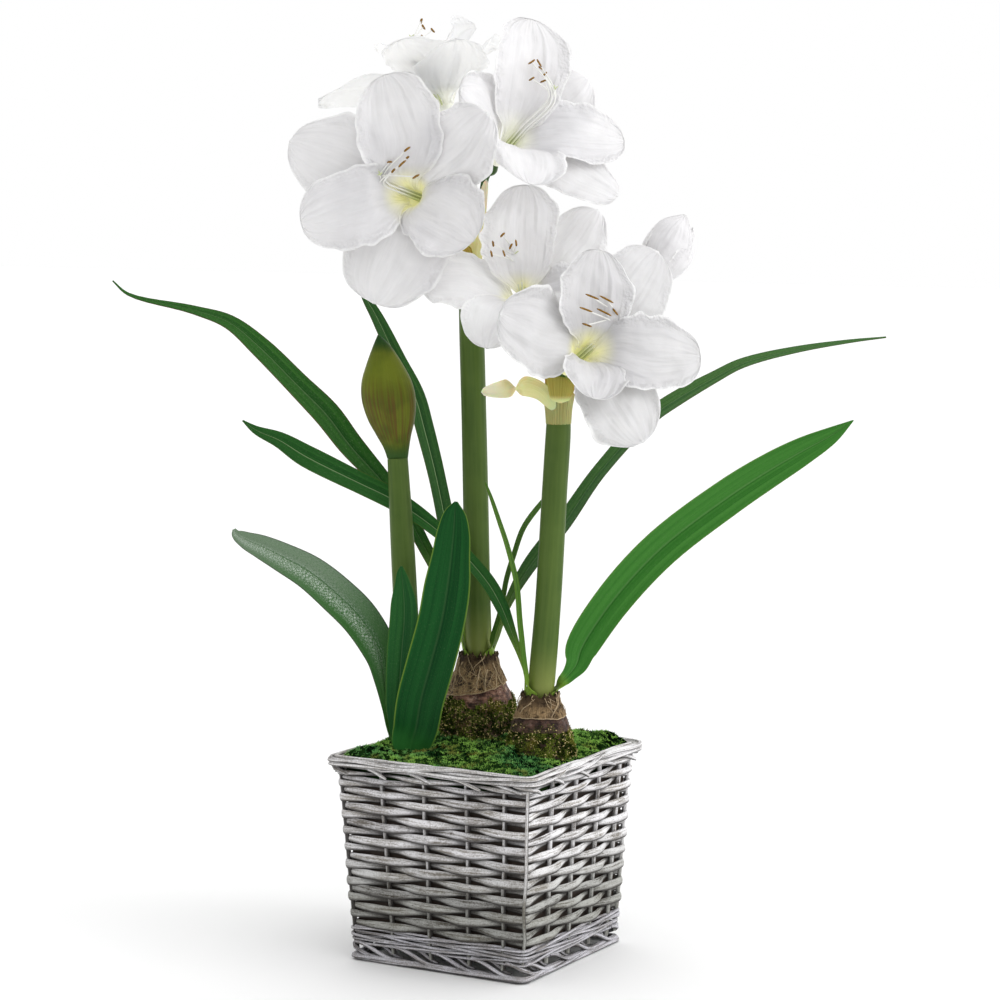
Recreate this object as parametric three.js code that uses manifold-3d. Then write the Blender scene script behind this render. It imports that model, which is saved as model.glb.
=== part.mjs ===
// A potted amaryllis (Hippeastrum) in a square basket of grey washed willow.
// Two scapes in bloom and one in bud rise from three bulbs, with strap leaves round them.
// The bulbs sit in potting soil inside a liner, under a layer of moss.
// Millimetres, +Z up, the basket's sides square to X and Y. The origin is the middle of the
// object's bounding box on the surface that it stands on.
import * as THREE from "three";
import { mergeVertices } from "three/addons/utils/BufferGeometryUtils.js";
import Module from "manifold-3d";

const wasm = await Module();
wasm.setup();

// ---------------------------------------------------------------- driving dimensions
const GAP = 0.3; // between pieces that touch
const LOOSE = 0.9; // round a stem or leaf where it comes up through the moss
const BASKET_HEIGHT = 168;
const BASKET_TOP_HALF = 88.5; // half width of the weave at the rim
const BASKET_FOOT_HALF = 78.5; // half width of the weave at the foot
const ARRANGEMENT_TURN = THREE.MathUtils.degToRad(30); // the plants face out over a corner

const FOOT_BORDER_TOP = 6;
const WALING_BOTTOM = 16;
const WALING_TOP = 28;
const WALL_TOP = 157;
const RIM_Z = 162.6;
const WEAVE_ROWS = 20;
const STAKE_PLACES = [0, 0.235, 0.46, 0.685, 0.885]; // along each side, as shares of it

const LINER_FLOOR = 21;
const LINER_TOP = 150;
const SOIL_TOP = 145;
const MOSS_EDGE = 165;
const MOSS_HALF = 84;

const vec = (x, y, z) => new THREE.Vector3(x, y, z);
const lerp = THREE.MathUtils.lerp;
const clamp = THREE.MathUtils.clamp;
const smooth = (x, a, b) => THREE.MathUtils.smoothstep(x, a, b);
const radians = THREE.MathUtils.degToRad;

// A seeded draw between 0 and 1, the same on every run.
function seededDraw(seed) {
  let state = seed;
  return () => {
    state = (state * 1664525 + 1013904223) % 4294967296;
    return state / 4294967296;
  };
}

// ---------------------------------------------------------------- solids
// A closed geometry as a manifold-3d solid that faces outwards.
function solidOf(geometry) {
  const bare = new THREE.BufferGeometry();
  bare.setAttribute("position", geometry.getAttribute("position"));
  if (geometry.index) bare.setIndex(geometry.index);
  const merged = mergeVertices(bare, 1e-3);
  const index = merged.index.array;
  const kept = [];
  for (let i = 0; i < index.length; i += 3) {
    const [a, b, c] = [index[i], index[i + 1], index[i + 2]];
    if (a !== b && b !== c && c !== a) kept.push(a, b, c);
  }
  const make = (triangles) =>
    new wasm.Manifold(
      new wasm.Mesh({
        numProp: 3,
        vertProperties: merged.attributes.position.array,
        triVerts: new Uint32Array(triangles),
      }),
    );
  const solid = make(kept);
  return solid.volume() < 0 ? make(kept.reverse()) : solid;
}

function geometryOf(solid) {
  const mesh = solid.getMesh();
  return new THREE.BufferGeometry()
    .setAttribute("position", new THREE.BufferAttribute(mesh.vertProperties, 3))
    .setIndex(new THREE.BufferAttribute(mesh.triVerts, 1));
}

const union = (solids) => solids.reduce((all, next) => all.add(next));

// The largest connected body of a solid: a union can leave a loose scrap behind.
function mainBody(solid) {
  const bodies = solid.decompose();
  return bodies.reduce((best, body) => (body.volume() > best.volume() ? body : best));
}

function geometryFrom(points, triangles) {
  const geometry = new THREE.BufferGeometry().setFromPoints(points);
  geometry.setIndex(triangles);
  return geometry;
}

// A skin through rings of points. An open loft is capped by a fan round each end's middle.
function loft(rings, closed = false) {
  const count = rings[0].length;
  const points = rings.flat();
  const triangles = [];
  const spans = closed ? rings.length : rings.length - 1;
  for (let i = 0; i < spans; i++) {
    const here = i * count;
    const next = ((i + 1) % rings.length) * count;
    for (let j = 0; j < count; j++) {
      const k = (j + 1) % count;
      triangles.push(here + j, here + k, next + k, here + j, next + k, next + j);
    }
  }
  if (!closed)
    for (const [ring, turned] of [
      [0, true],
      [rings.length - 1, false],
    ]) {
      const middle = rings[ring].reduce((sum, p) => sum.add(p), vec(0, 0, 0));
      points.push(middle.divideScalar(count));
      for (let j = 0; j < count; j++) {
        const [a, b] = [ring * count + j, ring * count + ((j + 1) % count)];
        triangles.push(points.length - 1, ...(turned ? [b, a] : [a, b]));
      }
    }
  return solidOf(geometryFrom(points, triangles));
}

// A sheet between two surfaces over the unit square, split into triangles alike on both.
function slab(across, along, top, bottom) {
  const points = [];
  const triangles = [];
  const row = across + 1;
  const side = row * (along + 1);
  for (const surface of [top, bottom])
    for (let j = 0; j <= along; j++)
      for (let i = 0; i <= across; i++) points.push(surface(i / across, j / along));
  const quad = (a, b, c, d) => triangles.push(a, b, c, a, c, d);
  for (let j = 0; j < along; j++)
    for (let i = 0; i < across; i++) {
      const a = j * row + i;
      quad(a, a + 1, a + row + 1, a + row);
      triangles.push(side + a, side + a + row + 1, side + a + 1);
      triangles.push(side + a, side + a + row, side + a + row + 1);
    }
  for (let i = 0; i < across; i++) {
    quad(side + i, side + i + 1, i + 1, i);
    const far = along * row + i;
    quad(far, far + 1, side + far + 1, side + far);
  }
  for (let j = 0; j < along; j++) {
    const left = j * row;
    quad(left, left + row, side + left + row, side + left);
    const right = j * row + across;
    quad(side + right, side + right + row, right + row, right);
  }
  return solidOf(geometryFrom(points, triangles));
}

// A blade of even thickness about a surface over the unit square.
function blade(across, along, surface, thickness) {
  const step = 1e-3;
  const offset = (u, v, side) => {
    const p = surface(u, v);
    const alongU = surface(Math.min(u + step, 1), v).sub(surface(Math.max(u - step, 0), v));
    const alongV = surface(u, Math.min(v + step, 1)).sub(surface(u, Math.max(v - step, 0)));
    const normal = alongU.cross(alongV).normalize();
    return p.addScaledVector(normal, (side * thickness(u, v)) / 2);
  };
  return slab(
    across,
    along,
    (u, v) => offset(u, v, 1),
    (u, v) => offset(u, v, -1),
  );
}

// A round rod along a curve, its radius a function of the share of the way along.
function rod(curve, radiusAt, sides, steps) {
  const frames = curve.computeFrenetFrames(steps, false);
  const rings = [];
  for (let i = 0; i <= steps; i++) {
    const centre = curve.getPointAt(i / steps);
    const radius = radiusAt(i / steps);
    const ring = [];
    for (let j = 0; j < sides; j++) {
      const angle = (2 * Math.PI * j) / sides;
      ring.push(
        centre
          .clone()
          .addScaledVector(frames.normals[i], radius * Math.cos(angle))
          .addScaledVector(frames.binormals[i], radius * Math.sin(angle)),
      );
    }
    rings.push(ring);
  }
  return loft(rings);
}

// A round rod with [share of the way, radius] stations given one by one.
function rodThrough(curve, stations, sides) {
  const side = vec(0, 0, 1);
  const rings = stations.map(([t, radius]) => {
    const centre = curve.getPointAt(t);
    const tangent = curve.getTangentAt(t);
    const across = side.clone().addScaledVector(tangent, -side.dot(tangent)).normalize();
    const other = tangent.clone().cross(across);
    return Array.from({ length: sides }, (_, j) => {
      const angle = (2 * Math.PI * j) / sides;
      return centre
        .clone()
        .addScaledVector(across, radius * Math.cos(angle))
        .addScaledVector(other, radius * Math.sin(angle));
    });
  });
  return loft(rings);
}

const through = (points) => new THREE.CatmullRomCurve3(points.map((p) => vec(...p)));

// A solid turned about the axis at (x, y), from [radius, height] pairs.
function turned(profile, sides, x = 0, y = 0) {
  const outline = profile.map(([r, z]) => new THREE.Vector2(r, z));
  const geometry = new THREE.LatheGeometry(outline, sides).rotateX(Math.PI / 2);
  return solidOf(geometry.translate(x, y, 0));
}

// ---------------------------------------------------------------- the basket
const weaveHalf = (z) => lerp(BASKET_FOOT_HALF, BASKET_TOP_HALF, z / BASKET_HEIGHT);

// The four corners of a level square, counter-clockwise.
const corners = (half, z) =>
  [
    [-1, -1],
    [1, -1],
    [1, 1],
    [-1, 1],
  ].map(([x, y]) => vec(x * half, y * half, z));

const frustum = (halfLow, low, halfHigh, high) =>
  loft([corners(halfLow, low), corners(halfHigh, high)]);

// The places round the weave: each stake, and half way to the next one.
const WEAVE_PLACES = [];
for (let side = 0; side < 4; side++)
  STAKE_PLACES.forEach((place, k) => {
    const next = STAKE_PLACES[k + 1] ?? 1;
    const stake = side * STAKE_PLACES.length + k;
    WEAVE_PLACES.push({ side, along: place, stake, corner: k === 0 });
    WEAVE_PLACES.push({ side, along: (place + next) / 2, stake: null, corner: false });
  });

// A point on the weave's outside, pushed out by a relief in millimetres.
function weavePoint(place, z, relief) {
  const half = weaveHalf(z);
  const [from, to] = [corners(half, z)[place.side], corners(half, z)[(place.side + 1) % 4]];
  const p = from.clone().lerp(to, place.along);
  const out = vec(to.y - from.y, from.x - to.x, 0).normalize();
  if (place.corner) {
    const cornerInset = 0.5;
    const diagonal = vec(from.x, from.y, 0).normalize();
    return p.addScaledVector(diagonal, relief - cornerInset);
  }
  return p.addScaledVector(out, relief);
}

// The woven wall: weavers pass in front of every second stake, one stake on from row to row.
function makeWall() {
  const overStake = 3;
  const stakeFront = 0.4;
  const crestBetween = 1;
  const grooveBetween = -1.8;
  const wallThickness = 4.2;
  const bottom = WALING_TOP + GAP;
  const pitch = (WALL_TOP - bottom) / WEAVE_ROWS;
  const rings = [];
  for (let line = 0; line <= 2 * WEAVE_ROWS; line++) {
    const z = bottom + (line * pitch) / 2;
    const rowNumber = (line - 1) / 2;
    const crest = line % 2 === 1;
    rings.push(
      WEAVE_PLACES.map((place) => {
        if (place.stake === null)
          return weavePoint(place, z, crest ? crestBetween : grooveBetween);
        const over = crest && (place.stake + rowNumber) % 2 === 0;
        return weavePoint(place, z, over ? overStake : stakeFront);
      }),
    );
  }
  const inner = (z) => weaveHalf(z) - wallThickness;
  const hollow = frustum(inner(bottom - 1), bottom - 1, inner(WALL_TOP + 1), WALL_TOP + 1);
  return loft(rings).subtract(hollow);
}

// A rope laid round a level square, its lobes winding along it.
function ropeRing({ half, z, corner, radius, wider, lobes, lobeDepth, turns, steps, ground }) {
  const outline = new THREE.Shape();
  const flat = half - corner;
  outline.moveTo(-flat, -half).lineTo(flat, -half);
  outline.absarc(flat, -flat, corner, -Math.PI / 2, 0);
  outline.lineTo(half, flat).absarc(flat, flat, corner, 0, Math.PI / 2);
  outline.lineTo(-flat, half).absarc(-flat, flat, corner, Math.PI / 2, Math.PI);
  outline.lineTo(-half, -flat).absarc(-flat, -flat, corner, Math.PI, 1.5 * Math.PI);
  const path = outline.getSpacedPoints(steps).slice(0, steps);
  const rings = path.map((p, i) => {
    const before = path[(i + steps - 1) % steps];
    const after = path[(i + 1) % steps];
    const out = vec(after.y - before.y, before.x - after.x, 0).normalize();
    const twist = (2 * Math.PI * turns * i) / (steps * lobes);
    const ring = [];
    for (let j = 0; j < 2 * lobes; j++) {
      const angle = (Math.PI * j) / lobes;
      const reach = radius * (j % 2 === 0 ? 1 : 1 - lobeDepth);
      const height = Math.max(z + reach * Math.sin(angle + twist), ground);
      const point = vec(p.x, p.y, height);
      ring.push(point.addScaledVector(out, wider * reach * Math.cos(angle + twist)));
    }
    return ring;
  });
  return loft(rings, true);
}

// The rim: a bundle of rods laid round the top edge, twisting slowly.
const makeRim = () =>
  ropeRing({
    half: BASKET_TOP_HALF + 3.5,
    z: RIM_Z,
    corner: 4,
    radius: 5.2,
    wider: 1.35,
    lobes: 4,
    lobeDepth: 0.22,
    turns: 12,
    steps: 36,
    ground: 0,
  });

// The waling: a band of three thin rods under the wall.
function makeWaling() {
  const ridges = 3;
  const ridgeReach = 2.4;
  const grooveReach = -0.6;
  const thickness = 4.5;
  const height = (WALING_TOP - WALING_BOTTOM) / ridges;
  const squareAt = (z, reach) => {
    const half = weaveHalf(z) + reach;
    const cut = 2;
    return corners(half, z).flatMap((p) => {
      const [sx, sy] = [Math.sign(p.x), Math.sign(p.y)];
      const ends = [vec(p.x - sx * cut, p.y, z), vec(p.x, p.y - sy * cut, z)];
      return sx * sy > 0 ? ends.reverse() : ends;
    });
  };
  const rings = [];
  for (let line = 0; line <= 2 * ridges; line++)
    rings.push(
      squareAt(WALING_BOTTOM + (line * height) / 2, line % 2 ? ridgeReach : grooveReach),
    );
  const inner = (z) => weaveHalf(z) - thickness;
  return loft(rings).subtract(
    frustum(inner(WALING_BOTTOM - 1), WALING_BOTTOM - 1, inner(WALING_TOP + 1), WALING_TOP + 1),
  );
}

// The foot: a border of twisted rods, flat where it stands on the ground.
const makeFoot = () =>
  ropeRing({
    half: BASKET_FOOT_HALF,
    z: 1.9,
    corner: 4,
    radius: 4,
    wider: 1,
    lobes: 3,
    lobeDepth: 0.18,
    turns: 12,
    steps: 36,
    ground: 0,
  });

// Slanting rods between the foot and the waling, with open triangles between them.
function makeLattice() {
  const slants = 6; // on each side
  const reach = 1.8;
  const rings = [];
  const [low, high] = [FOOT_BORDER_TOP + GAP + reach, WALING_BOTTOM - GAP - reach];
  for (let side = 0; side < 4; side++)
    for (let k = 0; k < slants; k++) {
      const square = corners(BASKET_FOOT_HALF, k % 2 ? high : low);
      const [from, to] = [square[side], square[(side + 1) % 4]];
      const p = from.clone().lerp(to, k / slants);
      const out = vec(to.y - from.y, from.x - to.x, 0).normalize();
      if (k === 0) out.add(vec(p.x, p.y, 0).normalize().multiplyScalar(0.7)).normalize();
      const around = [
        [1, 0],
        [0, 1],
        [-1, 0],
        [0, -1],
      ];
      rings.push(
        around.map(([o, up]) =>
          p
            .clone()
            .addScaledVector(out, o * reach)
            .add(vec(0, 0, up * reach)),
        ),
      );
    }
  return loft(rings, true);
}

// The base: a woven panel inside the waling, ribbed underneath.
function makeBase() {
  const half = weaveHalf(WALING_BOTTOM) - 4.5 - GAP;
  const ribs = 5;
  const ribDepth = 1.2;
  const underside = WALING_BOTTOM + 1.5;
  return slab(
    2,
    2 * ribs,
    (u, v) => vec(lerp(-half, half, u), lerp(-half, half, v), LINER_FLOOR - GAP),
    (u, v) => {
      const rib = Math.round(v * 2 * ribs) % 2 === 1;
      return vec(lerp(-half, half, u), lerp(-half, half, v), underside - (rib ? ribDepth : 0));
    },
  );
}

// ---------------------------------------------------------------- liner, soil and moss
const linerHalf = (z) => weaveHalf(z) - 4.2 - GAP - 0.3;
const LINER_WALL = 1.2;

function makeLiner() {
  const outside = frustum(linerHalf(LINER_FLOOR), LINER_FLOOR, linerHalf(LINER_TOP), LINER_TOP);
  const floorTop = LINER_FLOOR + LINER_WALL;
  const inside = frustum(
    linerHalf(floorTop) - LINER_WALL,
    floorTop,
    linerHalf(LINER_TOP + 1) - LINER_WALL,
    LINER_TOP + 1,
  );
  return outside.subtract(inside);
}

function makeSoil() {
  const [bottom, inset] = [LINER_FLOOR + LINER_WALL + GAP, LINER_WALL + GAP];
  return frustum(linerHalf(bottom) - inset, bottom, linerHalf(SOIL_TOP) - inset, SOIL_TOP);
}

// The moss rises from the rim to a low mound round the bulbs, in soft tufts. Above the liner
// it spreads to the rim.
function makeMoss() {
  const cells = 8;
  const bottom = SOIL_TOP + GAP;
  const ledge = LINER_TOP + 1;
  const share = (linerHalf(SOIL_TOP) - LINER_WALL - GAP) / MOSS_HALF;
  const moundHeight = 9;
  const tuftHeight = 3;
  const draw = seededDraw(7);
  const points = [];
  const triangles = [];
  for (let j = 0; j <= cells; j++)
    for (let i = 0; i <= cells; i++) {
      const edge = Math.min(i, j, cells - i, cells - j) / cells;
      const rise = moundHeight * smooth(edge, 0, 0.3) + tuftHeight * (draw() - 0.5);
      const x = lerp(-MOSS_HALF, MOSS_HALF, i / cells);
      const y = lerp(-MOSS_HALF, MOSS_HALF, j / cells);
      points.push(vec(x, y, MOSS_EDGE + rise));
    }
  const row = cells + 1;
  for (let j = 0; j < cells; j++)
    for (let i = 0; i < cells; i++) {
      const a = j * row + i;
      triangles.push(a, a + 1, a + row + 1, a, a + row + 1, a + row);
    }
  const rim = [];
  for (let i = 0; i < cells; i++) rim.push(i);
  for (let j = 0; j < cells; j++) rim.push(j * row + cells);
  for (let i = cells; i > 0; i--) rim.push(cells * row + i);
  for (let j = cells; j > 0; j--) rim.push(j * row);
  const side = points.length;
  for (const z of [ledge, bottom])
    for (const k of rim) points.push(vec(points[k].x * share, points[k].y * share, z));
  points.push(vec(0, 0, bottom));
  const foot = side + rim.length;
  rim.forEach((k, i) => {
    const n = (i + 1) % rim.length;
    triangles.push(side + i, side + n, rim[n], side + i, rim[n], k);
    triangles.push(foot + i, foot + n, side + n, foot + i, side + n, side + i);
    triangles.push(points.length - 1, foot + n, foot + i);
  });
  return solidOf(geometryFrom(points, triangles));
}

// ---------------------------------------------------------------- bulbs
// Each bulb: where it stands, its outline from base to neck, and the radius of the neck's well.
const BULBS = {
  back: {
    at: [-7, 35],
    neckTop: 237,
    outline: [
      [0, 101],
      [16, 103],
      [30, 118],
      [36, 145],
      [35.5, 168],
      [32.5, 185],
      [28.5, 201],
      [26.2, 208],
      [24.2, 209.5],
      [21, 217],
      [16, 229],
      [14.6, 237],
      [0, 237],
    ],
    well: 13.3,
    seed: 3,
  },
  front: {
    at: [43, -25],
    neckTop: 214,
    outline: [
      [0, 92],
      [13, 94],
      [24, 107],
      [28.6, 132],
      [28.8, 160],
      [27, 173],
      [24, 185],
      [21.6, 196],
      [19.8, 198],
      [17.2, 205],
      [14.6, 214],
      [0, 214],
    ],
    well: 13.3,
    seed: 5,
  },
  side: {
    at: [-58, -6],
    neckTop: 152,
    outline: [
      [0, 62],
      [11, 64],
      [22, 80],
      [25, 100],
      [20, 124],
      [16, 140],
      [14.6, 152],
      [0, 152],
    ],
    well: 13.2,
    seed: 9,
  },
};
const WELL_DEPTH = 16;
const BULB_SIDES = 12;

// The papery tunic ends in ragged points round the neck and bulges a little unevenly.
function makeBulb({ at, neckTop, outline, well, seed }) {
  const raggedness = 4.5;
  const unevenness = 0.6;
  const draw = seededDraw(seed);
  const points = Array.from({ length: BULB_SIDES }, () => draw());
  const profile = outline.map(([r, z]) => new THREE.Vector2(r, z));
  const geometry = new THREE.LatheGeometry(profile, BULB_SIDES).rotateX(Math.PI / 2);
  const position = geometry.getAttribute("position");
  const p = vec(0, 0, 0);
  for (let i = 0; i < position.count; i++) {
    p.fromBufferAttribute(position, i);
    const radius = Math.hypot(p.x, p.y);
    if (radius < 1) continue;
    const angle = Math.atan2(p.y, p.x);
    const k = Math.round((angle / (2 * Math.PI) + 1) * BULB_SIDES) % BULB_SIDES;
    const bulge = p.z > neckTop - 12 ? 0 : unevenness * Math.sin(3 * angle + seed + p.z / 17);
    const out = 1 + bulge / radius;
    const ragged = p.z > neckTop - 1 ? raggedness * (points[k] - 0.5) : 0;
    position.setXYZ(i, p.x * out, p.y * out, p.z + ragged);
  }
  const tunic = solidOf(geometry.translate(at[0], at[1], 0));
  const floor = neckTop - WELL_DEPTH;
  const hollow = turned(
    [
      [0, floor],
      [well, floor],
      [well, neckTop + 20],
      [0, neckTop + 20],
    ],
    BULB_SIDES,
    ...at,
  );
  return mainBody(tunic.subtract(hollow));
}

// ---------------------------------------------------------------- scapes, the flower stems
// Each section: the middle, the height and the radius. A scape is slimmer inside its bulb's
// neck, and at its top where the spathe's sheath covers it.
const STEM_SIDES = 12;
const scapeFloor = (bulb) => bulb.neckTop - WELL_DEPTH + GAP;
const SCAPES = {
  back: [
    [-7, 35, scapeFloor(BULBS.back), 8.4],
    [-7, 35, 236, 8.4],
    [-7, 35, 243, 10.5],
    [-8, 35.5, 300, 10.5],
    [-10.5, 36, 430, 10.2],
    [-13, 36, 533, 9.7],
    [-13, 36, 533.6, 8.3],
    [-13, 36, 552, 8.3],
  ],
  front: [
    [43, -25, scapeFloor(BULBS.front), 8.4],
    [43, -25, 213, 8.4],
    [43.6, -25, 220, 10.5],
    [49, -26, 290, 10.4],
    [54, -27, 380, 10.1],
    [57, -28, 433, 9.8],
    [57, -28, 433.6, 8.3],
    [57, -28, 452, 8.3],
  ],
  side: [
    [-58, -6, scapeFloor(BULBS.side), 8],
    [-58, -6, 151, 8],
    [-58.8, -5, 162, 9.4],
    [-62.5, -1, 220, 9.8],
    [-67.5, 6, 320, 9.8],
    [-72, 12, 402, 8.4],
  ],
};

function makeScape(sections) {
  const circle = ([x, y, z, radius]) =>
    Array.from({ length: STEM_SIDES }, (_, j) => {
      const angle = (2 * Math.PI * j) / STEM_SIDES;
      return vec(x + radius * Math.cos(angle), y + radius * Math.sin(angle), z);
    });
  return loft(sections.map(circle));
}

// The unopened spathe: two bracts closed to a point over the buds, a seam down each side.
function makeBud() {
  const sections = [
    [-72, 12, 402 + GAP, 8.2],
    [-73, 12, 411, 10.4],
    [-75, 12, 421, 14],
    [-77, 12, 434, 19],
    [-79, 12, 450, 21.8],
    [-80.5, 12, 464, 20.4],
    [-82, 12, 477, 15.4],
    [-83.5, 12, 488, 10],
    [-85, 12, 496, 5.4],
    [-87, 12, 502, 1.2],
  ];
  const flattened = 0.82;
  const seam = 0.06;
  const sides = 12;
  const ring = ([x, y, z, radius]) =>
    Array.from({ length: sides }, (_, j) => {
      const angle = (2 * Math.PI * j) / sides;
      const reach = radius * (1 + (j % (sides / 2) === 0 && radius > 9 ? seam : 0));
      return vec(x + reach * Math.cos(angle), y + reach * Math.sin(angle) * flattened, z);
    });
  return loft(sections.map(ring));
}

// ---------------------------------------------------------------- strap leaves
// A leaf leaves its bulb's neck at an angle round the bulb, then passes through its ribs, each
// a point on the midrib and the blade's width there. Its upper face looks forwards, tilted
// back by so many degrees to look up.
const FRONT = vec(0, -1, 0);
const LEAVES = {
  leaf_back_long_left: {
    bulb: "back",
    from: 180,
    tilt: 38,
    ribs: [
      [-23, 40, 263, 8.1],
      [-34, 42, 291, 11.2],
      [-51, 46, 325, 13.2],
      [-67, 50, 354, 15.2],
      [-86, 54, 379, 18.3],
      [-113, 58, 409, 24],
      [-132, 60, 434, 25.9],
      [-157, 63, 459, 22.8],
      [-186, 66, 488, 20.3],
      [-212, 69, 509, 14.2],
      [-241, 71, 519, 8.7],
      [-295, 74, 532, 3],
      [-308, 75, 543, 1.2],
    ],
  },
  leaf_back_upper_left: {
    bulb: "back",
    from: 142,
    tilt: 42,
    ribs: [
      [-21, 46, 257, 9.7],
      [-26, 52, 281, 15.1],
      [-32, 60, 330, 18.3],
      [-41, 65, 377, 17.8],
      [-52, 68, 422, 19.4],
      [-59, 69, 447, 19.4],
      [-73, 69, 476, 17.2],
      [-91, 67, 514, 12.4],
      [-99, 66, 528, 8.6],
      [-106, 65, 541, 1.6],
    ],
  },
  leaf_back_long_right: {
    bulb: "back",
    from: 12,
    tilt: 54,
    ribs: [
      [8, 40, 251, 9.5],
      [15, 44, 274, 10.2],
      [34, 50, 308, 17.7],
      [62, 54, 343, 20.4],
      [93, 58, 387, 17.7],
      [134, 62, 431, 19.1],
      [157, 63, 447, 18.6],
      [189, 65, 465, 14.3],
      [211, 66, 476, 12.2],
      [256, 67, 487, 8.2],
      [294, 68, 493, 4.8],
      [328, 69, 497, 1.4],
    ],
  },
  leaf_back_slim_right: {
    bulb: "back",
    from: -38,
    tilt: 50,
    ribs: [
      [4.5, 24.5, 254, 5.6],
      [11.5, 26.5, 277, 5.8],
      [16, 32, 301, 6],
      [22, 38, 320, 6],
      [30, 42, 342, 6],
      [43, 48, 360, 5.6],
      [60, 54, 379, 1.2],
    ],
  },
  leaf_front_long_left: {
    bulb: "front",
    from: 186,
    tilt: 38,
    ribs: [
      [31, -27, 230, 5.1],
      [27, -26, 246, 6.1],
      [20, -22, 265, 9.1],
      [11, -16, 287, 13.2],
      [0, -8, 305, 14.2],
      [-26, 10, 332, 13.7],
      [-41, 16, 344, 14.2],
      [-61, 23, 358, 17.3],
      [-82, 29, 370, 20.3],
      [-102, 34, 379, 20.3],
      [-148, 42, 401, 21.3],
      [-170, 46, 414, 15.2],
      [-189, 48, 422, 8.1],
      [-200, 49, 430, 1.2],
    ],
  },
  leaf_front_slim_left: {
    bulb: "front",
    from: 222,
    tilt: 50,
    ribs: [
      [30, -36, 242, 6.2],
      [27, -34, 269, 6.5],
      [23, -30, 309, 6.2],
      [16, -26, 337, 5.6],
      [10, -23, 355, 5],
      [3, -20, 375, 3.7],
      [-1, -18, 386, 1.5],
    ],
  },
  leaf_front_broad_right: {
    bulb: "front",
    from: 4,
    tilt: 6,
    ribs: [
      [57, -25, 221, 4],
      [61, -25, 227, 5.6],
      [66, -24, 232, 10.5],
      [72, -21, 240, 18.5],
      [76, -16, 252, 25.7],
      [101, -8, 289, 29.4],
      [140, 3, 330, 30.6],
      [194, 14, 370, 29.8],
      [227, 19, 391, 27.3],
      [255, 22, 407, 22.5],
      [279, 24, 420, 13.7],
      [297, 26, 432, 1],
    ],
  },
  leaf_side_arching: {
    bulb: "side",
    from: 180,
    tilt: 20,
    ribs: [
      [-80, -5, 185, 5.1],
      [-81, -3, 204, 11.1],
      [-83, 0, 226, 19.6],
      [-87, 4, 246, 28.1],
      [-102, 8, 271, 31.5],
      [-122, 12, 291, 31.5],
      [-143, 16, 308, 28.9],
      [-165, 20, 320, 24.7],
      [-184, 24, 329, 19.6],
      [-196, 26, 334, 14.5],
      [-204, 27, 339, 8.5],
      [-206, 28, 343, 2.6],
    ],
  },
  leaf_side_small: {
    bulb: "side",
    from: 226,
    tilt: 8,
    ribs: [
      [-73, -17, 187, 11.3],
      [-72, -19, 202, 17.8],
      [-70, -22, 227, 21.8],
      [-68, -25, 252, 23.4],
      [-66, -27, 276, 23],
      [-66, -28, 293, 20.2],
      [-67, -28, 306, 12.9],
      [-68, -28, 315, 7.3],
      [-68, -28, 320, 1.6],
    ],
  },
  leaf_side_broad: {
    bulb: "side",
    from: 264,
    tilt: 5,
    ribs: [
      [-62, -23, 174, 24.1],
      [-58, -27, 189, 34.5],
      [-53, -31, 212, 37.7],
      [-45, -36, 242, 38.5],
      [-36, -41, 277, 37.7],
      [-31, -44, 307, 36.5],
      [-28, -46, 331, 30.5],
      [-26, -47, 351, 25.7],
      [-25, -48, 366, 16.1],
      [-24, -48, 374, 2.4],
    ],
  },
};
const LEAF_EDGE = 0.8;
const LEAF_RIB = 1.6;
const LEAF_CHANNEL = 0.1; // depth of the fold along the midrib, as a share of the width

// The ribs of a leaf with its root in the bulb's neck put before them.
function leafRibs(leaf) {
  const bulb = BULBS[leaf.bulb];
  const angle = radians(leaf.from);
  const root = (radius, z, width) => [
    bulb.at[0] + radius * Math.cos(angle),
    bulb.at[1] + radius * Math.sin(angle),
    z,
    width,
  ];
  return [
    root(10.7, bulb.neckTop - WELL_DEPTH + 1, 4.2),
    root(10.8, bulb.neckTop - 5, 4.4),
    root(12.1, bulb.neckTop + 5, 5),
    ...leaf.ribs,
  ];
}

// The leaf's surface: u across it from left to right, v along it.
function leafSurface(leaf, grow = 0) {
  const ribs = leafRibs(leaf);
  const curve = through(ribs.map(([x, y, z]) => [x, y, z]));
  const widths = new THREE.SplineCurve(ribs.map(([, , , w], i) => new THREE.Vector2(i, w)));
  const angle = radians(leaf.from);
  const tilt = radians(leaf.tilt);
  const leansLeft = leaf.ribs.at(-1)[0] < leaf.ribs[0][0];
  return (u, v) => {
    const centre = curve.getPoint(v);
    const tangent = curve.getTangent(v);
    const square = (direction) =>
      direction.addScaledVector(tangent, -direction.dot(tangent)).normalize();
    const front = square(FRONT.clone());
    const upper = tangent.clone().cross(front).multiplyScalar(leansLeft ? 1 : -1);
    const opened = front.multiplyScalar(Math.cos(tilt)).addScaledVector(upper, Math.sin(tilt));
    const atRoot = square(vec(-Math.cos(angle), -Math.sin(angle), 0));
    if (atRoot.dot(opened) < 0) atRoot.negate();
    const normal = square(atRoot.lerp(opened, smooth(v, 0.1, 0.35)));
    const side = normal.clone().cross(tangent);
    const reach = Math.max(widths.getPoint(v).y, 1) / 2 + grow;
    const across = 2 * u - 1;
    return centre
      .addScaledVector(side, across * reach)
      .addScaledVector(normal, 2 * LEAF_CHANNEL * reach * (Math.abs(across) - 0.5));
  };
}

function makeLeaf(leaf, grow = 0) {
  const steps = leafRibs(leaf).length - 1;
  const thickness = (u) => lerp(LEAF_RIB, LEAF_EDGE, Math.abs(2 * u - 1)) + 2 * grow;
  return blade(2, steps, leafSurface(leaf, grow), thickness);
}

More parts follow.
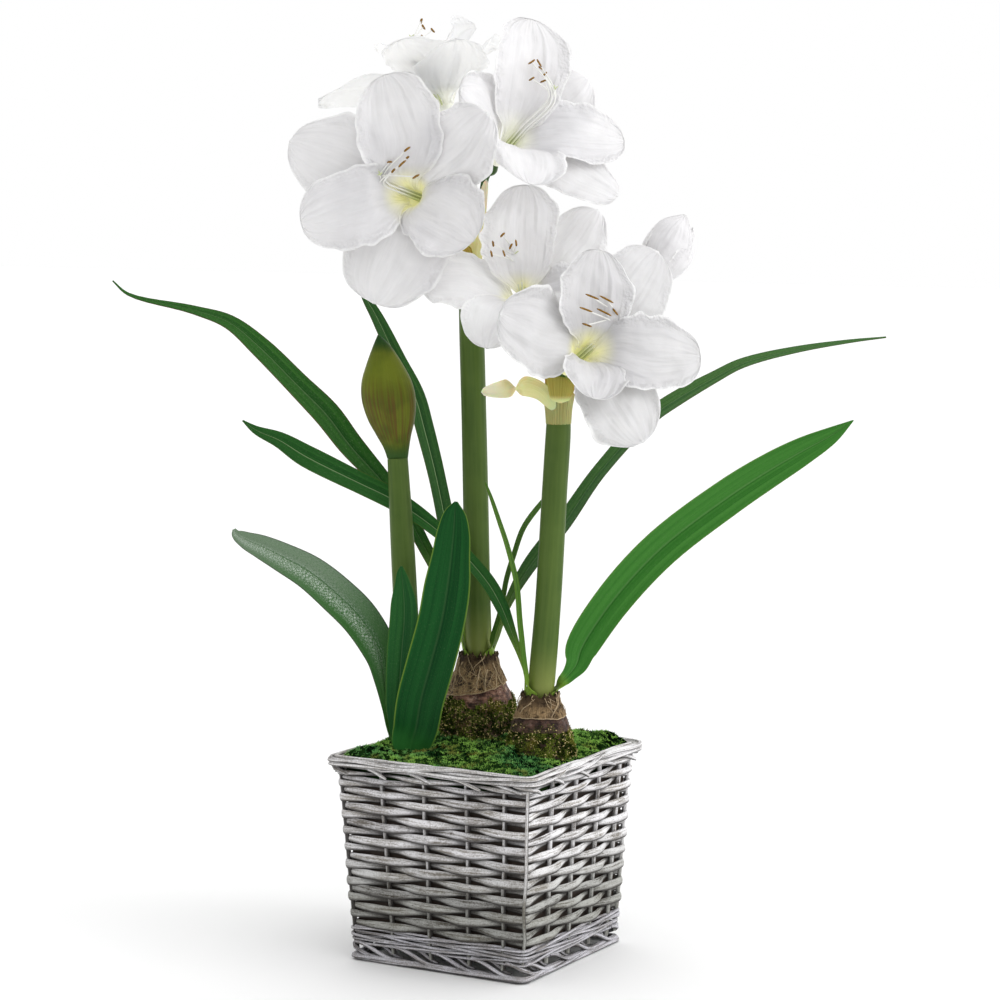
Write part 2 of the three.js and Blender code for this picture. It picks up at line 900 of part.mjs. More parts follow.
// ---------------------------------------------------------------- blooms
// A bloom's neck sits on its ovary, and its funnel opens along its aim. Each tepal ends at its
// tip, with a lean away from the aim there. The inner three lie in front of the outer three.
const BLOOMS = {
  left: {
    neck: [-38, 14, 608],
    aim: [-0.27, -0.94, 0.19],
    from: [-17, 32, 553],
    tepals: [
      { tip: [-75, -14, 709], width: 67, lean: 92, inner: true },
      { tip: [0, -50, 679], width: 62, lean: 92 },
      { tip: [-9, -64, 579], width: 66, lean: 80, inner: true },
      { tip: [-84, -42, 530], width: 82, lean: 98 },
      { tip: [-146, -20, 592], width: 62, lean: 92, inner: true },
      { tip: [-158, 7, 657], width: 66, lean: 96 },
    ],
    threads: { reach: 66, drop: -4, lift: 20, sweep: -20 },
    seed: 11,
  },
  rear: {
    neck: [-31, 60, 668],
    aim: [-0.2, 0.35, 0.92],
    from: [-17, 40.5, 553],
    tepals: [
      { tip: [-8, 90, 757], width: 44, lean: 66, inner: true },
      { tip: [5, 135, 736], width: 52, lean: 84 },
      { tip: [-86, 125, 727], width: 56, lean: 80, inner: true },
      { tip: [-136, 34, 692], width: 58, lean: 100 },
      { tip: [-69, 9, 735], width: 54, lean: 74, inner: true },
      { tip: [-25, 5, 739], width: 56, lean: 70 },
    ],
    threads: { reach: 78, drop: 0, lift: 10, sweep: 0 },
    seed: 12,
  },
  right: {
    neck: [7, 36, 640],
    aim: [0.42, -0.7, 0.58],
    from: [-9, 36, 553],
    tepals: [
      { tip: [35, 36, 753], width: 60, lean: 84, inner: true },
      { tip: [82, 46, 708], width: 60, lean: 90 },
      { tip: [110, 34, 656], width: 56, lean: 82, inner: true },
      { tip: [105, -2, 614], width: 56, lean: 94 },
      { tip: [34, -43, 622], width: 60, lean: 96, inner: true },
      { tip: [-20, -26, 697], width: 62, lean: 92 },
    ],
    threads: { reach: 66, drop: 4, lift: 26, sweep: -14 },
    seed: 13,
  },
  centre: {
    neck: [34, -15, 521],
    aim: [-0.2, -0.72, 0.66],
    from: [53, -25, 453],
    tepals: [
      { tip: [30, -21, 622], width: 60, lean: 62, inner: true },
      { tip: [87, -20, 604], width: 58, lean: 84 },
      { tip: [90, -48, 536], width: 44, lean: 96, inner: true },
      { tip: [33, -84, 524], width: 50, lean: 70 },
      { tip: [1, -97, 497], width: 52, lean: 100, inner: true },
      { tip: [-52, -42, 547], width: 56, lean: 104 },
    ],
    threads: { reach: 70, drop: 0, lift: 8, sweep: -10 },
    seed: 14,
  },
  low: {
    neck: [62, -50, 478],
    aim: [0.38, -0.87, 0.31],
    from: [58.5, -31, 453],
    tepals: [
      { tip: [86, -73, 573], width: 58, lean: 80, inner: true },
      { tip: [136, -33, 571], width: 64, lean: 96 },
      { tip: [166, -67, 489], width: 58, lean: 88, inner: true },
      { tip: [122, -101, 426], width: 64, lean: 100 },
      { tip: [82, -119, 459], width: 50, lean: 80, inner: true },
      { tip: [11, -120, 526], width: 64, lean: 94 },
    ],
    threads: { reach: 66, drop: 2, lift: 26, sweep: 6 },
    seed: 15,
  },
};
const NECK_RADIUS = 4.4;
const CLAW = { along: 17, out: 6.9, lean: radians(13) }; // where the tepals' claws are rooted
const TEPAL_THICKNESS = 0.9;
const TEPAL_ACROSS = 3;
const TEPAL_STEPS = 6;

// The bloom's axis and two directions square to it: up, and to the right seen from in front.
function bloomFrame(bloom) {
  const axis = vec(...bloom.aim).normalize();
  const right = vec(0, 0, 1).cross(axis).normalize();
  const up = axis.clone().cross(right);
  return { axis, right, up, neck: vec(...bloom.neck) };
}

// The share of its full width that a tepal has: a narrow claw, widest past the middle, then a
// rounded end with a small point.
function tepalWidth(t) {
  const widest = 0.62;
  const shape = (t / widest) ** 0.95 * ((1 - t) / (1 - widest)) ** 0.5;
  return clamp(shape, 0.04, 1);
}

// A tepal's surface: u across it, v from its claw to its tip.
function tepalSurface(bloom, index) {
  const tepal = bloom.tepals[index];
  const { axis, neck } = bloomFrame(bloom);
  const toTip = vec(...tepal.tip).sub(neck);
  const tipAlong = toTip.dot(axis);
  const outward = toTip.clone().addScaledVector(axis, -tipAlong);
  const tipOut = outward.length();
  outward.normalize();
  const sideways = axis.clone().cross(outward);
  const span = Math.hypot(tipOut - CLAW.out, tipAlong - CLAW.along);
  const rise = (tepal.inner ? 0.48 : 0.34) * span;
  const lean = radians(tepal.lean);
  const midrib = new THREE.CubicBezierCurve(
    new THREE.Vector2(CLAW.out, CLAW.along),
    new THREE.Vector2(
      CLAW.out + rise * Math.sin(CLAW.lean),
      CLAW.along + rise * Math.cos(CLAW.lean),
    ),
    new THREE.Vector2(
      tipOut - 0.42 * span * Math.sin(lean),
      tipAlong - 0.42 * span * Math.cos(lean),
    ),
    new THREE.Vector2(tipOut, tipAlong),
  );
  const phase = bloom.seed + 2.1 * index;
  return (u, v) => {
    const t = 1 - (1 - v) ** 1.2;
    const { x: out, y: along } = midrib.getPoint(t);
    const slope = midrib.getTangent(t);
    const fused = out * lerp(0.5, 1.05, smooth(t, 0.04, 0.3));
    const half = Math.min((tepal.width / 2) * tepalWidth(t), fused);
    const across = 2 * u - 1;
    const flat = tepal.inner ? 0.55 : 0.2;
    const wrap = Math.min(1 / out, 0.85 / half) * lerp(1, flat, smooth(t, 0.15, 0.6));
    const angle = wrap * half * across;
    const layer = (tepal.inner ? 1.6 : -1.6) * smooth(t, 0.02, 0.14);
    const ruffle = 3.2 * smooth(t, 0.5, 0.85) * Math.abs(across) ** 3;
    const wave = ruffle * Math.sin(9 * t + phase + (across > 0 ? 1.7 : 0));
    const keel = -1.2 * smooth(t, 0.15, 0.4) * (1 - Math.abs(across));
    const inward = (1 - Math.cos(angle)) / wrap + layer + wave + keel;
    return neck
      .clone()
      .addScaledVector(axis, along + inward * slope.x)
      .addScaledVector(outward, out - inward * slope.y)
      .addScaledVector(sideways, Math.sin(angle) / wrap);
  };
}

// A solid of revolution moved from the Z axis on to a bloom's axis.
function onAxis(geometry, { axis, neck }) {
  const turn = new THREE.Quaternion().setFromUnitVectors(vec(0, 0, 1), axis);
  return solidOf(geometry.applyQuaternion(turn).translate(neck.x, neck.y, neck.z));
}

// The funnel that the tepals' claws join to make, hollow above its neck.
function makeFunnel(bloom) {
  const wall = 1;
  const mouth = 20;
  const radiusAt = (along) => CLAW.out + (along - CLAW.along) * Math.tan(CLAW.lean);
  const profile = [
    [0, 0],
    [NECK_RADIUS, 0],
    [NECK_RADIUS + 0.4, 6],
    [radiusAt(mouth) + wall, mouth],
    [radiusAt(mouth) - wall, mouth],
    [radiusAt(9) - wall, 9],
    [0, 7],
  ].map(([r, z]) => new THREE.Vector2(r, z));
  return onAxis(new THREE.LatheGeometry(profile, 10).rotateX(Math.PI / 2), bloomFrame(bloom));
}

// Six stamens and a style: they leave the funnel together, then lift and sweep to one side.
function makeThreads(bloom) {
  const { axis, right, up, neck } = bloomFrame(bloom);
  const { reach, drop, lift, sweep } = bloom.threads;
  const draw = seededDraw(bloom.seed);
  const solids = [];
  for (let k = 0; k < 7; k++) {
    const style = k === 6;
    const angle = (2 * Math.PI * (k + 0.5)) / 6;
    const length = style ? reach + 14 : reach - 8 + 14 * draw();
    const spread = style ? 0 : 9 + 3 * draw();
    const at = (share) =>
      neck
        .clone()
        .addScaledVector(axis, 6 + (length - 6) * share)
        .addScaledVector(right, (style ? 0 : 2.8 + spread * share) * Math.sin(angle))
        .addScaledVector(up, (style ? 0 : 2.8 + spread * share) * Math.cos(angle))
        .addScaledVector(right, sweep * share ** 2)
        .add(vec(0, 0, drop * share * (1 - share) * -4 + lift * share ** 2.5));
    const curve = new THREE.CatmullRomCurve3([0, 0.3, 0.65, 1].map(at));
    const [thick, tip] = style ? [1.9, 0.6] : [1.7, 0.7];
    const shape = [
      [0, 0.8],
      [0.45, 0.8],
      [0.92, 0.8],
      [0.96, thick],
      [1, tip],
    ];
    solids.push(rodThrough(curve, shape, 3));
  }
  return solids;
}

function makeBloom(bloom) {
  const tepals = bloom.tepals.map((_, i) =>
    blade(TEPAL_ACROSS, TEPAL_STEPS, tepalSurface(bloom, i), () => TEPAL_THICKNESS),
  );
  return mainBody(union([makeFunnel(bloom), ...tepals, ...makeThreads(bloom)]));
}

// The pedicel, a short green stalk, swells into the ovary under the bloom.
function makePedicel(bloom) {
  const { axis, neck } = bloomFrame(bloom);
  const behind = (distance) => neck.clone().addScaledVector(axis, -distance);
  const start = vec(...bloom.from);
  const curve = new THREE.CatmullRomCurve3([
    start,
    start.clone().add(vec(0, 0, 9)),
    behind(18),
    behind(8),
    behind(GAP + 0.2),
  ]);
  const total = curve.getLength();
  const radiusAt = (t) => 3 + 2.4 * Math.exp(-((((1 - t) * total - 8) / 5.5) ** 2));
  return rod(curve, radiusAt, 7, 6);
}

// ---------------------------------------------------------------- the closed white bud
const WHITE_BUD = {
  neck: [125, -10, 537],
  aim: [0.5, 0.12, 0.86],
  from: [60.5, -24, 453],
  length: 69,
  radius: 20,
};

// Tepals still rolled round each other: three outer ridges that wind up to a point.
function makeWhiteBud() {
  const { axis, right, up, neck } = bloomFrame(WHITE_BUD);
  const outline = new THREE.SplineCurve(
    [
      [0, 0.22],
      [0.18, 0.42],
      [0.42, 0.86],
      [0.64, 1],
      [0.84, 0.72],
      [0.96, 0.28],
      [1, 0.06],
    ].map(([t, r]) => new THREE.Vector2(t, r)),
  );
  const [sides, steps] = [12, 9];
  const ridge = 0.09;
  const winding = 1.1;
  const rings = [];
  for (let i = 0; i <= steps; i++) {
    const { x: t, y: share } = outline.getPoint(i / steps);
    const ring = [];
    for (let j = 0; j < sides; j++) {
      const angle = (2 * Math.PI * j) / sides;
      const lobe = 1 + ridge * Math.cos(3 * angle - 3 * winding * t);
      const reach = WHITE_BUD.radius * share * lobe;
      ring.push(
        neck
          .clone()
          .addScaledVector(axis, t * WHITE_BUD.length)
          .addScaledVector(right, reach * Math.cos(angle))
          .addScaledVector(up, reach * Math.sin(angle)),
      );
    }
    rings.push(ring);
  }
  return loft(rings);
}

// ---------------------------------------------------------------- opened spathes
// Two papery bracts on a sheath round the scape's top. Each bract follows a route, with the
// way its face looks at its start and at its end.
const SPATHES = {
  back: {
    at: [-13, 36],
    sheath: [
      [534, 9.8],
      [546, 10.8],
      [558, 13],
    ],
    bracts: [
      {
        route: [
          [-6, 27, 548],
          [-3, 24, 572],
          [2, 24, 600],
          [5, 25, 628],
        ],
        facing: [
          [0.5, -0.8, 0.1],
          [-0.6, -0.8, 0],
        ],
        width: 15,
      },
      {
        route: [
          [-22, 27, 550],
          [-25, 20, 566],
          [-31, 12, 568],
          [-40, 4, 558],
          [-48, -2, 549],
        ],
        facing: [
          [-0.5, -0.8, 0.1],
          [0.1, -0.6, 0.8],
        ],
        width: 15,
      },
    ],
  },
  front: {
    at: [57, -28],
    sheath: [
      [434, 9.9],
      [446, 10.8],
      [458, 12.8],
    ],
    bracts: [
      {
        route: [
          [47, -34, 446],
          [41, -41, 458],
          [27, -46, 463],
          [11, -48, 460],
          [-4, -49, 456],
        ],
        facing: [
          [-0.5, -0.7, 0.4],
          [0.1, -0.9, -0.5],
        ],
        width: 20,
      },
      {
        route: [
          [64, -35, 448],
          [68, -40, 458],
          [66, -44, 464],
          [60, -46, 462],
        ],
        facing: [
          [0.5, -0.8, 0.1],
          [-0.2, -0.9, 0.5],
        ],
        width: 18,
      },
    ],
  },
};

function makeSpathe({ at, sheath, bracts }) {
  const wall = 1.2;
  const outside = sheath.map(([z, r]) => [r, z]);
  const inside = sheath.map(([z, r]) => [r - wall, z]).reverse();
  const ring = turned([...outside, ...inside, outside[0]], 14, ...at);
  const blades = bracts.map(({ route, facing, width }) => {
    const curve = through(route);
    const [start, end] = facing.map((f) => vec(...f).normalize());
    const surface = (u, v) => {
      const tangent = curve.getTangentAt(v);
      const look = start.clone().lerp(end, v);
      const side = tangent.clone().cross(look).normalize();
      const normal = side.clone().cross(tangent);
      const reach = (width / 2) * Math.max(Math.sin(Math.PI * (0.22 + 0.78 * v)) ** 0.7, 0.06);
      const across = 2 * u - 1;
      return curve
        .getPointAt(v)
        .addScaledVector(side, across * reach)
        .addScaledVector(normal, 0.25 * reach * (1 - across * across));
    };
    return blade(2, 8, surface, () => 0.9);
  });
  return mainBody(union([ring, ...blades]));
}

// ---------------------------------------------------------------- colours
const paint = (color, roughness) =>
  new THREE.MeshStandardMaterial({ color, roughness, metalness: 0 });
const WILLOW = paint(0x9b9893, 0.8);
const LINER = paint(0x3a2f26, 0.7);
const SOIL = paint(0x3b2a1e, 0.95);
const MOSS = paint(0x4d6b24, 0.95);
const TUNIC = paint(0x7d5a45, 0.8);
const SCAPE = paint(0x6f8a42, 0.5);
const LEAF = paint(0x2c7a34, 0.5);
const SPATHE_GREEN = paint(0x7c8a35, 0.5);
const SPATHE_PALE = paint(0xcfcf86, 0.6);
const PETAL = paint(0xf6f5f4, 0.6);

// ---------------------------------------------------------------- assembly
const part = new THREE.Group();
const centred = new THREE.Group();
const arrangement = new THREE.Group();
arrangement.rotation.z = ARRANGEMENT_TURN;
centred.add(arrangement);
part.add(centred);

function addNode(parent, name, solid, material) {
  const mesh = new THREE.Mesh(geometryOf(solid), material);
  mesh.name = name;
  parent.add(mesh);
}

addNode(centred, "basket_wall", makeWall(), WILLOW);
addNode(centred, "basket_rim", makeRim(), WILLOW);
addNode(centred, "basket_waling", makeWaling(), WILLOW);
addNode(centred, "basket_foot", makeFoot(), WILLOW);
addNode(centred, "basket_lattice", makeLattice(), WILLOW);
addNode(centred, "basket_base", makeBase(), WILLOW);
addNode(centred, "liner", makeLiner(), LINER);

// Holes in the soil and the moss for what stands in them, a little wider than it.
function makeHoles() {
  const wider = 1.3;
  const holes = [];
  for (const { at, neckTop, outline } of Object.values(BULBS)) {
    const upper = outline.slice(1, -1).map(([r, z]) => [r + wider, z]);
    const buried = neckTop < MOSS_EDGE;
    const lid = buried ? neckTop + 3.2 : neckTop + 40;
    const profile = [[0, outline[0][1] - GAP], ...upper, [upper.at(-1)[0], lid], [0, lid]];
    profile[1][1] -= GAP;
    holes.push(turned(profile, BULB_SIDES, ...at));
  }
  holes.push(makeScape(SCAPES.side.map(([x, y, z, r]) => [x, y, z, r + LOOSE])));
  for (const leaf of Object.values(LEAVES))
    if (leaf.bulb === "side") holes.push(makeLeaf(leaf, LOOSE));
  return union(holes).rotate([0, 0, THREE.MathUtils.radToDeg(ARRANGEMENT_TURN)]);
}
const holes = makeHoles();
addNode(centred, "soil", mainBody(makeSoil().subtract(holes)), SOIL);
addNode(centred, "moss", mainBody(makeMoss().subtract(holes)), MOSS);

for (const [name, bulb] of Object.entries(BULBS))
  addNode(arrangement, `bulb_${name}`, makeBulb(bulb), TUNIC);
for (const [name, scape] of Object.entries(SCAPES))
  addNode(arrangement, `scape_${name}`, makeScape(scape), SCAPE);
for (const [name, leaf] of Object.entries(LEAVES))
  addNode(arrangement, name, makeLeaf(leaf), LEAF);
for (const [name, bloom] of Object.entries(BLOOMS)) {
  addNode(arrangement, `bloom_${name}`, makeBloom(bloom), PETAL);
  addNode(arrangement, `pedicel_${name}`, makePedicel(bloom), SCAPE);
}
for (const [name, spathe] of Object.entries(SPATHES))
  addNode(arrangement, `spathe_${name}`, makeSpathe(spathe), SPATHE_PALE);
addNode(arrangement, "spathe_closed", makeBud(), SPATHE_GREEN);
addNode(arrangement, "white_bud", makeWhiteBud(), PETAL);
addNode(arrangement, "pedicel_white_bud", makePedicel(WHITE_BUD), SCAPE);

// The origin: the middle of the whole object's box, on the ground.
part.updateMatrixWorld(true);
const middle = new THREE.Box3().setFromObject(part, true).getCenter(vec(0, 0, 0));
centred.position.set(-middle.x, -middle.y, 0);

export default part;
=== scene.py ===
# The looks of a potted amaryllis in a willow basket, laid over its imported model.
# As in the model's source, the basket and the plants are worked out in millimetres in their
# own frames. They are put into the row's frame, in metres, as each mesh is built.
import math

import bmesh
import bpy
import mathutils
import numpy as np
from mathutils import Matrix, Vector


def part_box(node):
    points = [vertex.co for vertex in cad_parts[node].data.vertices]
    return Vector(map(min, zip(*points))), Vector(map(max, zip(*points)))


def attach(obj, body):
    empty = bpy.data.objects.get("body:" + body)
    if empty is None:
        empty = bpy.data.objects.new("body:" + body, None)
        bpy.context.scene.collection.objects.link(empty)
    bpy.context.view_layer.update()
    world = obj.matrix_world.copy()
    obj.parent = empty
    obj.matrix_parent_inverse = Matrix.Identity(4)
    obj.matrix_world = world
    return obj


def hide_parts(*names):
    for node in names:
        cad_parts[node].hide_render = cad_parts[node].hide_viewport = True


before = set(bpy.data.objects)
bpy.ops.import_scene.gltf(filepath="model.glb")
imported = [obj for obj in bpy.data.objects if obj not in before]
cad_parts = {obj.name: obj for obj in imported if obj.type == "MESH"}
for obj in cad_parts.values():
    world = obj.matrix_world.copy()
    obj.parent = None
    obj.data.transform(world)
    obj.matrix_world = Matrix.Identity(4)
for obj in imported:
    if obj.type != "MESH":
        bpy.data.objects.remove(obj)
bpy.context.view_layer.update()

# ---------------------------------------------------------------- driving dimensions, in mm
BASKET_HEIGHT = 168
BASKET_TOP_HALF, BASKET_FOOT_HALF = 88.5, 78.5
WEAVE_BOTTOM, WALL_TOP, WEAVE_ROWS = 28.3, 157, 20
STAKE_PLACES = (0, 0.235, 0.46, 0.685, 0.885)  # along each side, as shares of it
STAKE_FOOT, STAKE_TOP = 9, 160
RIM_Z = 162.6
BASE_Z = 18.9
MOSS_BOTTOM, MOSS_EDGE, MOSS_HALF = 147, 165, 84
MOSS_STARS = 5600
PLANTS_TURN = math.radians(30)  # the plants face out over a corner of the basket

MM = 0.001
UP = np.array([0.0, 0.0, 1.0])
FRONT = np.array([0.0, -1.0, 0.0])


# ---------------------------------------------------------------- numbers
def smoothstep(x, low, high):
    share = np.clip((x - low) / (high - low), 0, 1)
    return share * share * (3 - 2 * share)


def lerp(a, b, share):
    return a + (b - a) * share


def bump(x, middle, width):
    """A smooth hump of height 1."""
    return np.exp(-(((x - middle) / width) ** 2))


def round_angles(count):
    """So many even steps round a circle."""
    return 2 * math.pi * np.arange(count) / count


def columns(*parts):
    """The parts side by side on a last axis, each spread out to the shape of the widest."""
    return np.stack(np.broadcast_arrays(*parts), axis=-1)


def vector(*numbers):
    return np.array(numbers, dtype=float)


def unit(vectors):
    return vectors / np.maximum(np.linalg.norm(vectors, axis=-1, keepdims=True), 1e-9)


def square_to(vectors, tangents):
    """The vectors with their share along the tangents taken out."""
    return unit(vectors - tangents * np.sum(vectors * tangents, axis=-1, keepdims=True))


def value_noise(points, size, seed=0):
    """Smooth noise from -1 to 1, its bumps about one size apart."""
    place = np.asarray(points, dtype=float) / size + 37.7 * (seed + 1)
    cell = np.floor(place).astype(np.int64)
    share = place - cell
    share = share * share * (3 - 2 * share)
    total = np.zeros(place.shape[:-1])
    for corner in np.ndindex(2, 2, 2):
        x, y, z = np.moveaxis(cell + np.array(corner), -1, 0)
        mixed = (x * 73856093) ^ (y * 19349663) ^ (z * 83492791) ^ (seed * 6542989)
        mixed = ((mixed ^ (mixed >> 13)) * 1274126177) & 0x7FFFFFFF
        mixed = ((mixed ^ (mixed >> 11)) * 668265263) & 0x7FFFFFFF
        weight = np.prod(np.where(np.array(corner) == 1, share, 1 - share), axis=-1)
        total += weight * ((mixed >> 7) & 0xFFFF) / 65535
    return 2 * total - 1


def smooth_path(points, count):
    """A centripetal Catmull-Rom curve through rows of numbers, at count + 1 even steps.

    The first three columns are a place, and the rest, such as a width, go along with it.
    """
    rows = np.asarray(points, dtype=float)
    rows = np.vstack([2 * rows[0] - rows[1], rows, 2 * rows[-1] - rows[-2]])
    steps = np.linspace(0, len(rows) - 3, count + 1)
    span = np.minimum(steps.astype(int), len(rows) - 4)
    share = (steps - span)[:, None]
    before, start, end, after = ends = [rows[span + k] for k in range(4)]
    gaps = [np.linalg.norm((b - a)[:, :3], axis=1, keepdims=True) for a, b in zip(ends, ends[1:])]
    first, middle, last = (np.maximum(gap**0.5, 1e-3) for gap in gaps)
    leave = (start - before) / first - (end - before) / (first + middle) + (end - start) / middle
    arrive = (end - start) / middle - (after - start) / (middle + last) + (after - end) / last
    leave, arrive = leave * middle, arrive * middle
    cubic = 2 * start - 2 * end + leave + arrive
    square = -3 * start + 3 * end - 2 * leave - arrive
    return ((cubic * share + square) * share + leave) * share + start


def along_path(path):
    """The length along a path up to each of its points."""
    return np.concatenate([[0], np.cumsum(np.linalg.norm(np.diff(path, axis=0), axis=1))])


# ---------------------------------------------------------------- meshes
BASKET_CENTRE = np.mean(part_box("basket_wall"), axis=0) * [1, 1, 0]
COS, SIN = math.cos(PLANTS_TURN), math.sin(PLANTS_TURN)
TURN = np.array([[COS, -SIN, 0], [SIN, COS, 0], [0, 0, 1]])


def from_basket(points):
    return np.asarray(points) * MM + BASKET_CENTRE


def from_plants(points):
    return from_basket(np.asarray(points) @ TURN.T)


def put(name, data):
    """An object in the scene that holds a mesh, a lamp or a camera's lens."""
    placed = bpy.data.objects.new(name, data)
    bpy.context.scene.collection.objects.link(placed)
    return placed


class Skin:
    """Closed skins gathered into one mesh. Each point has a place (u, v) on its skin, for the
    materials to read, and each face the number of its material."""

    def __init__(self):
        self.points, self.places, self.faces, self.paints = [], [], [], []
        self.count = 0

    def add(self, points, u, v, faces, paint=0):
        self.points.append(points.reshape(-1, 3))
        self.places.append(columns(*np.broadcast_arrays(u, v, points[..., 0])[:2]).reshape(-1, 2))
        self.faces += (faces + self.count).tolist()
        self.paints += [paint] * len(faces)
        self.count += len(self.points[-1])

    def loft(self, rings, u, v, paint=0, closed=False, flat=False):
        """A skin through rings of points. The ends of an open one get caps, and flat says
        that each ring is a thin sheet's top row with its bottom row back again."""
        m, n = rings.shape[:2]
        row, column = n * np.arange(m if closed else m - 1)[:, None], np.arange(n)
        next_row, next_column = (row + n) % (m * n), (column + 1) % n
        quads = columns(row + column, row + next_column, next_row + next_column, next_row + column)
        start = self.count
        self.add(rings, u, v, quads.reshape(-1, 4), paint)
        if closed:
            return
        for base, turned in ((start, True), (start + (m - 1) * n, False)):
            caps = [list(range(base, base + n))]
            if flat:
                low, high = base, base + n - 1
                caps = [[low + i, low + i + 1, high - 1 - i, high - i] for i in range(n // 2 - 1)]
            self.faces += [cap[::-1] if turned else cap for cap in caps]
            self.paints += [paint] * len(caps)

    def sheet(self, surface, thickness, number=0, paint=0):
        """A thin sheet about a surface of points (along, across, 3)."""
        along, across = np.gradient(surface, axis=0), np.gradient(surface, axis=1)
        half = unit(np.cross(across, along)) * np.asarray(thickness)[..., None] / 2
        rings = np.concatenate([surface + half, (surface - half)[:, ::-1]], axis=1)
        u = np.linspace(0.001, 0.999, surface.shape[1])
        v = np.linspace(0, 1, len(surface))[:, None]
        self.loft(rings, np.concatenate([u, u[::-1]]) + number, v, paint, flat=True)

    def rod(self, path, width, height, out, sides=8, number=0, paint=0, closed=False):
        """A rod along a path, of half widths towards `out` and square to it. Its place is its
        number plus the share round it, and the length along it in centimetres."""
        ahead = np.roll(path, -1, axis=0) - np.roll(path, 1, axis=0)
        tangent = unit(ahead if closed else np.gradient(path, axis=0))
        across = square_to(np.broadcast_to(out, path.shape), tangent)
        other = np.cross(tangent, across)
        angle = math.pi + round_angles(sides)
        width, height = (np.broadcast_to(half, len(path))[:, None] for half in (width, height))
        rings = path[:, None] + across[:, None] * (width * np.cos(angle))[..., None]
        rings = rings + other[:, None] * (height * np.sin(angle))[..., None]
        u = number + (np.arange(sides) + 0.5) / sides
        self.loft(rings, u, along_path(path)[:, None] / 10, paint, closed)

    def build(self, name, materials, slot, nodes, place=from_plants, sharp=50):
        """The mesh as an object that rides on the part and stands for the given nodes."""
        mesh = bpy.data.meshes.new(name)
        mesh.from_pydata(place(np.vstack(self.points)).tolist(), [], self.faces)
        mesh.polygons.foreach_set("material_index", self.paints)
        mesh.polygons.foreach_set("use_smooth", [True] * len(mesh.polygons))
        corner = np.empty(len(mesh.loops), dtype=np.int64)
        mesh.loops.foreach_get("vertex_index", corner)
        layer = mesh.uv_layers.new(name="place")
        layer.data.foreach_set("uv", np.vstack(self.places)[corner].ravel())
        turned = bmesh.new()
        turned.from_mesh(mesh)
        bmesh.ops.recalc_face_normals(turned, faces=turned.faces)
        turned.to_mesh(mesh)
        turned.free()
        mesh.set_sharp_from_angle(angle=math.radians(sharp))
        for material in materials:
            mesh.materials.append(material)
        piece = put(name, mesh)
        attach(piece, "root")
        if nodes:
            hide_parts(*nodes)


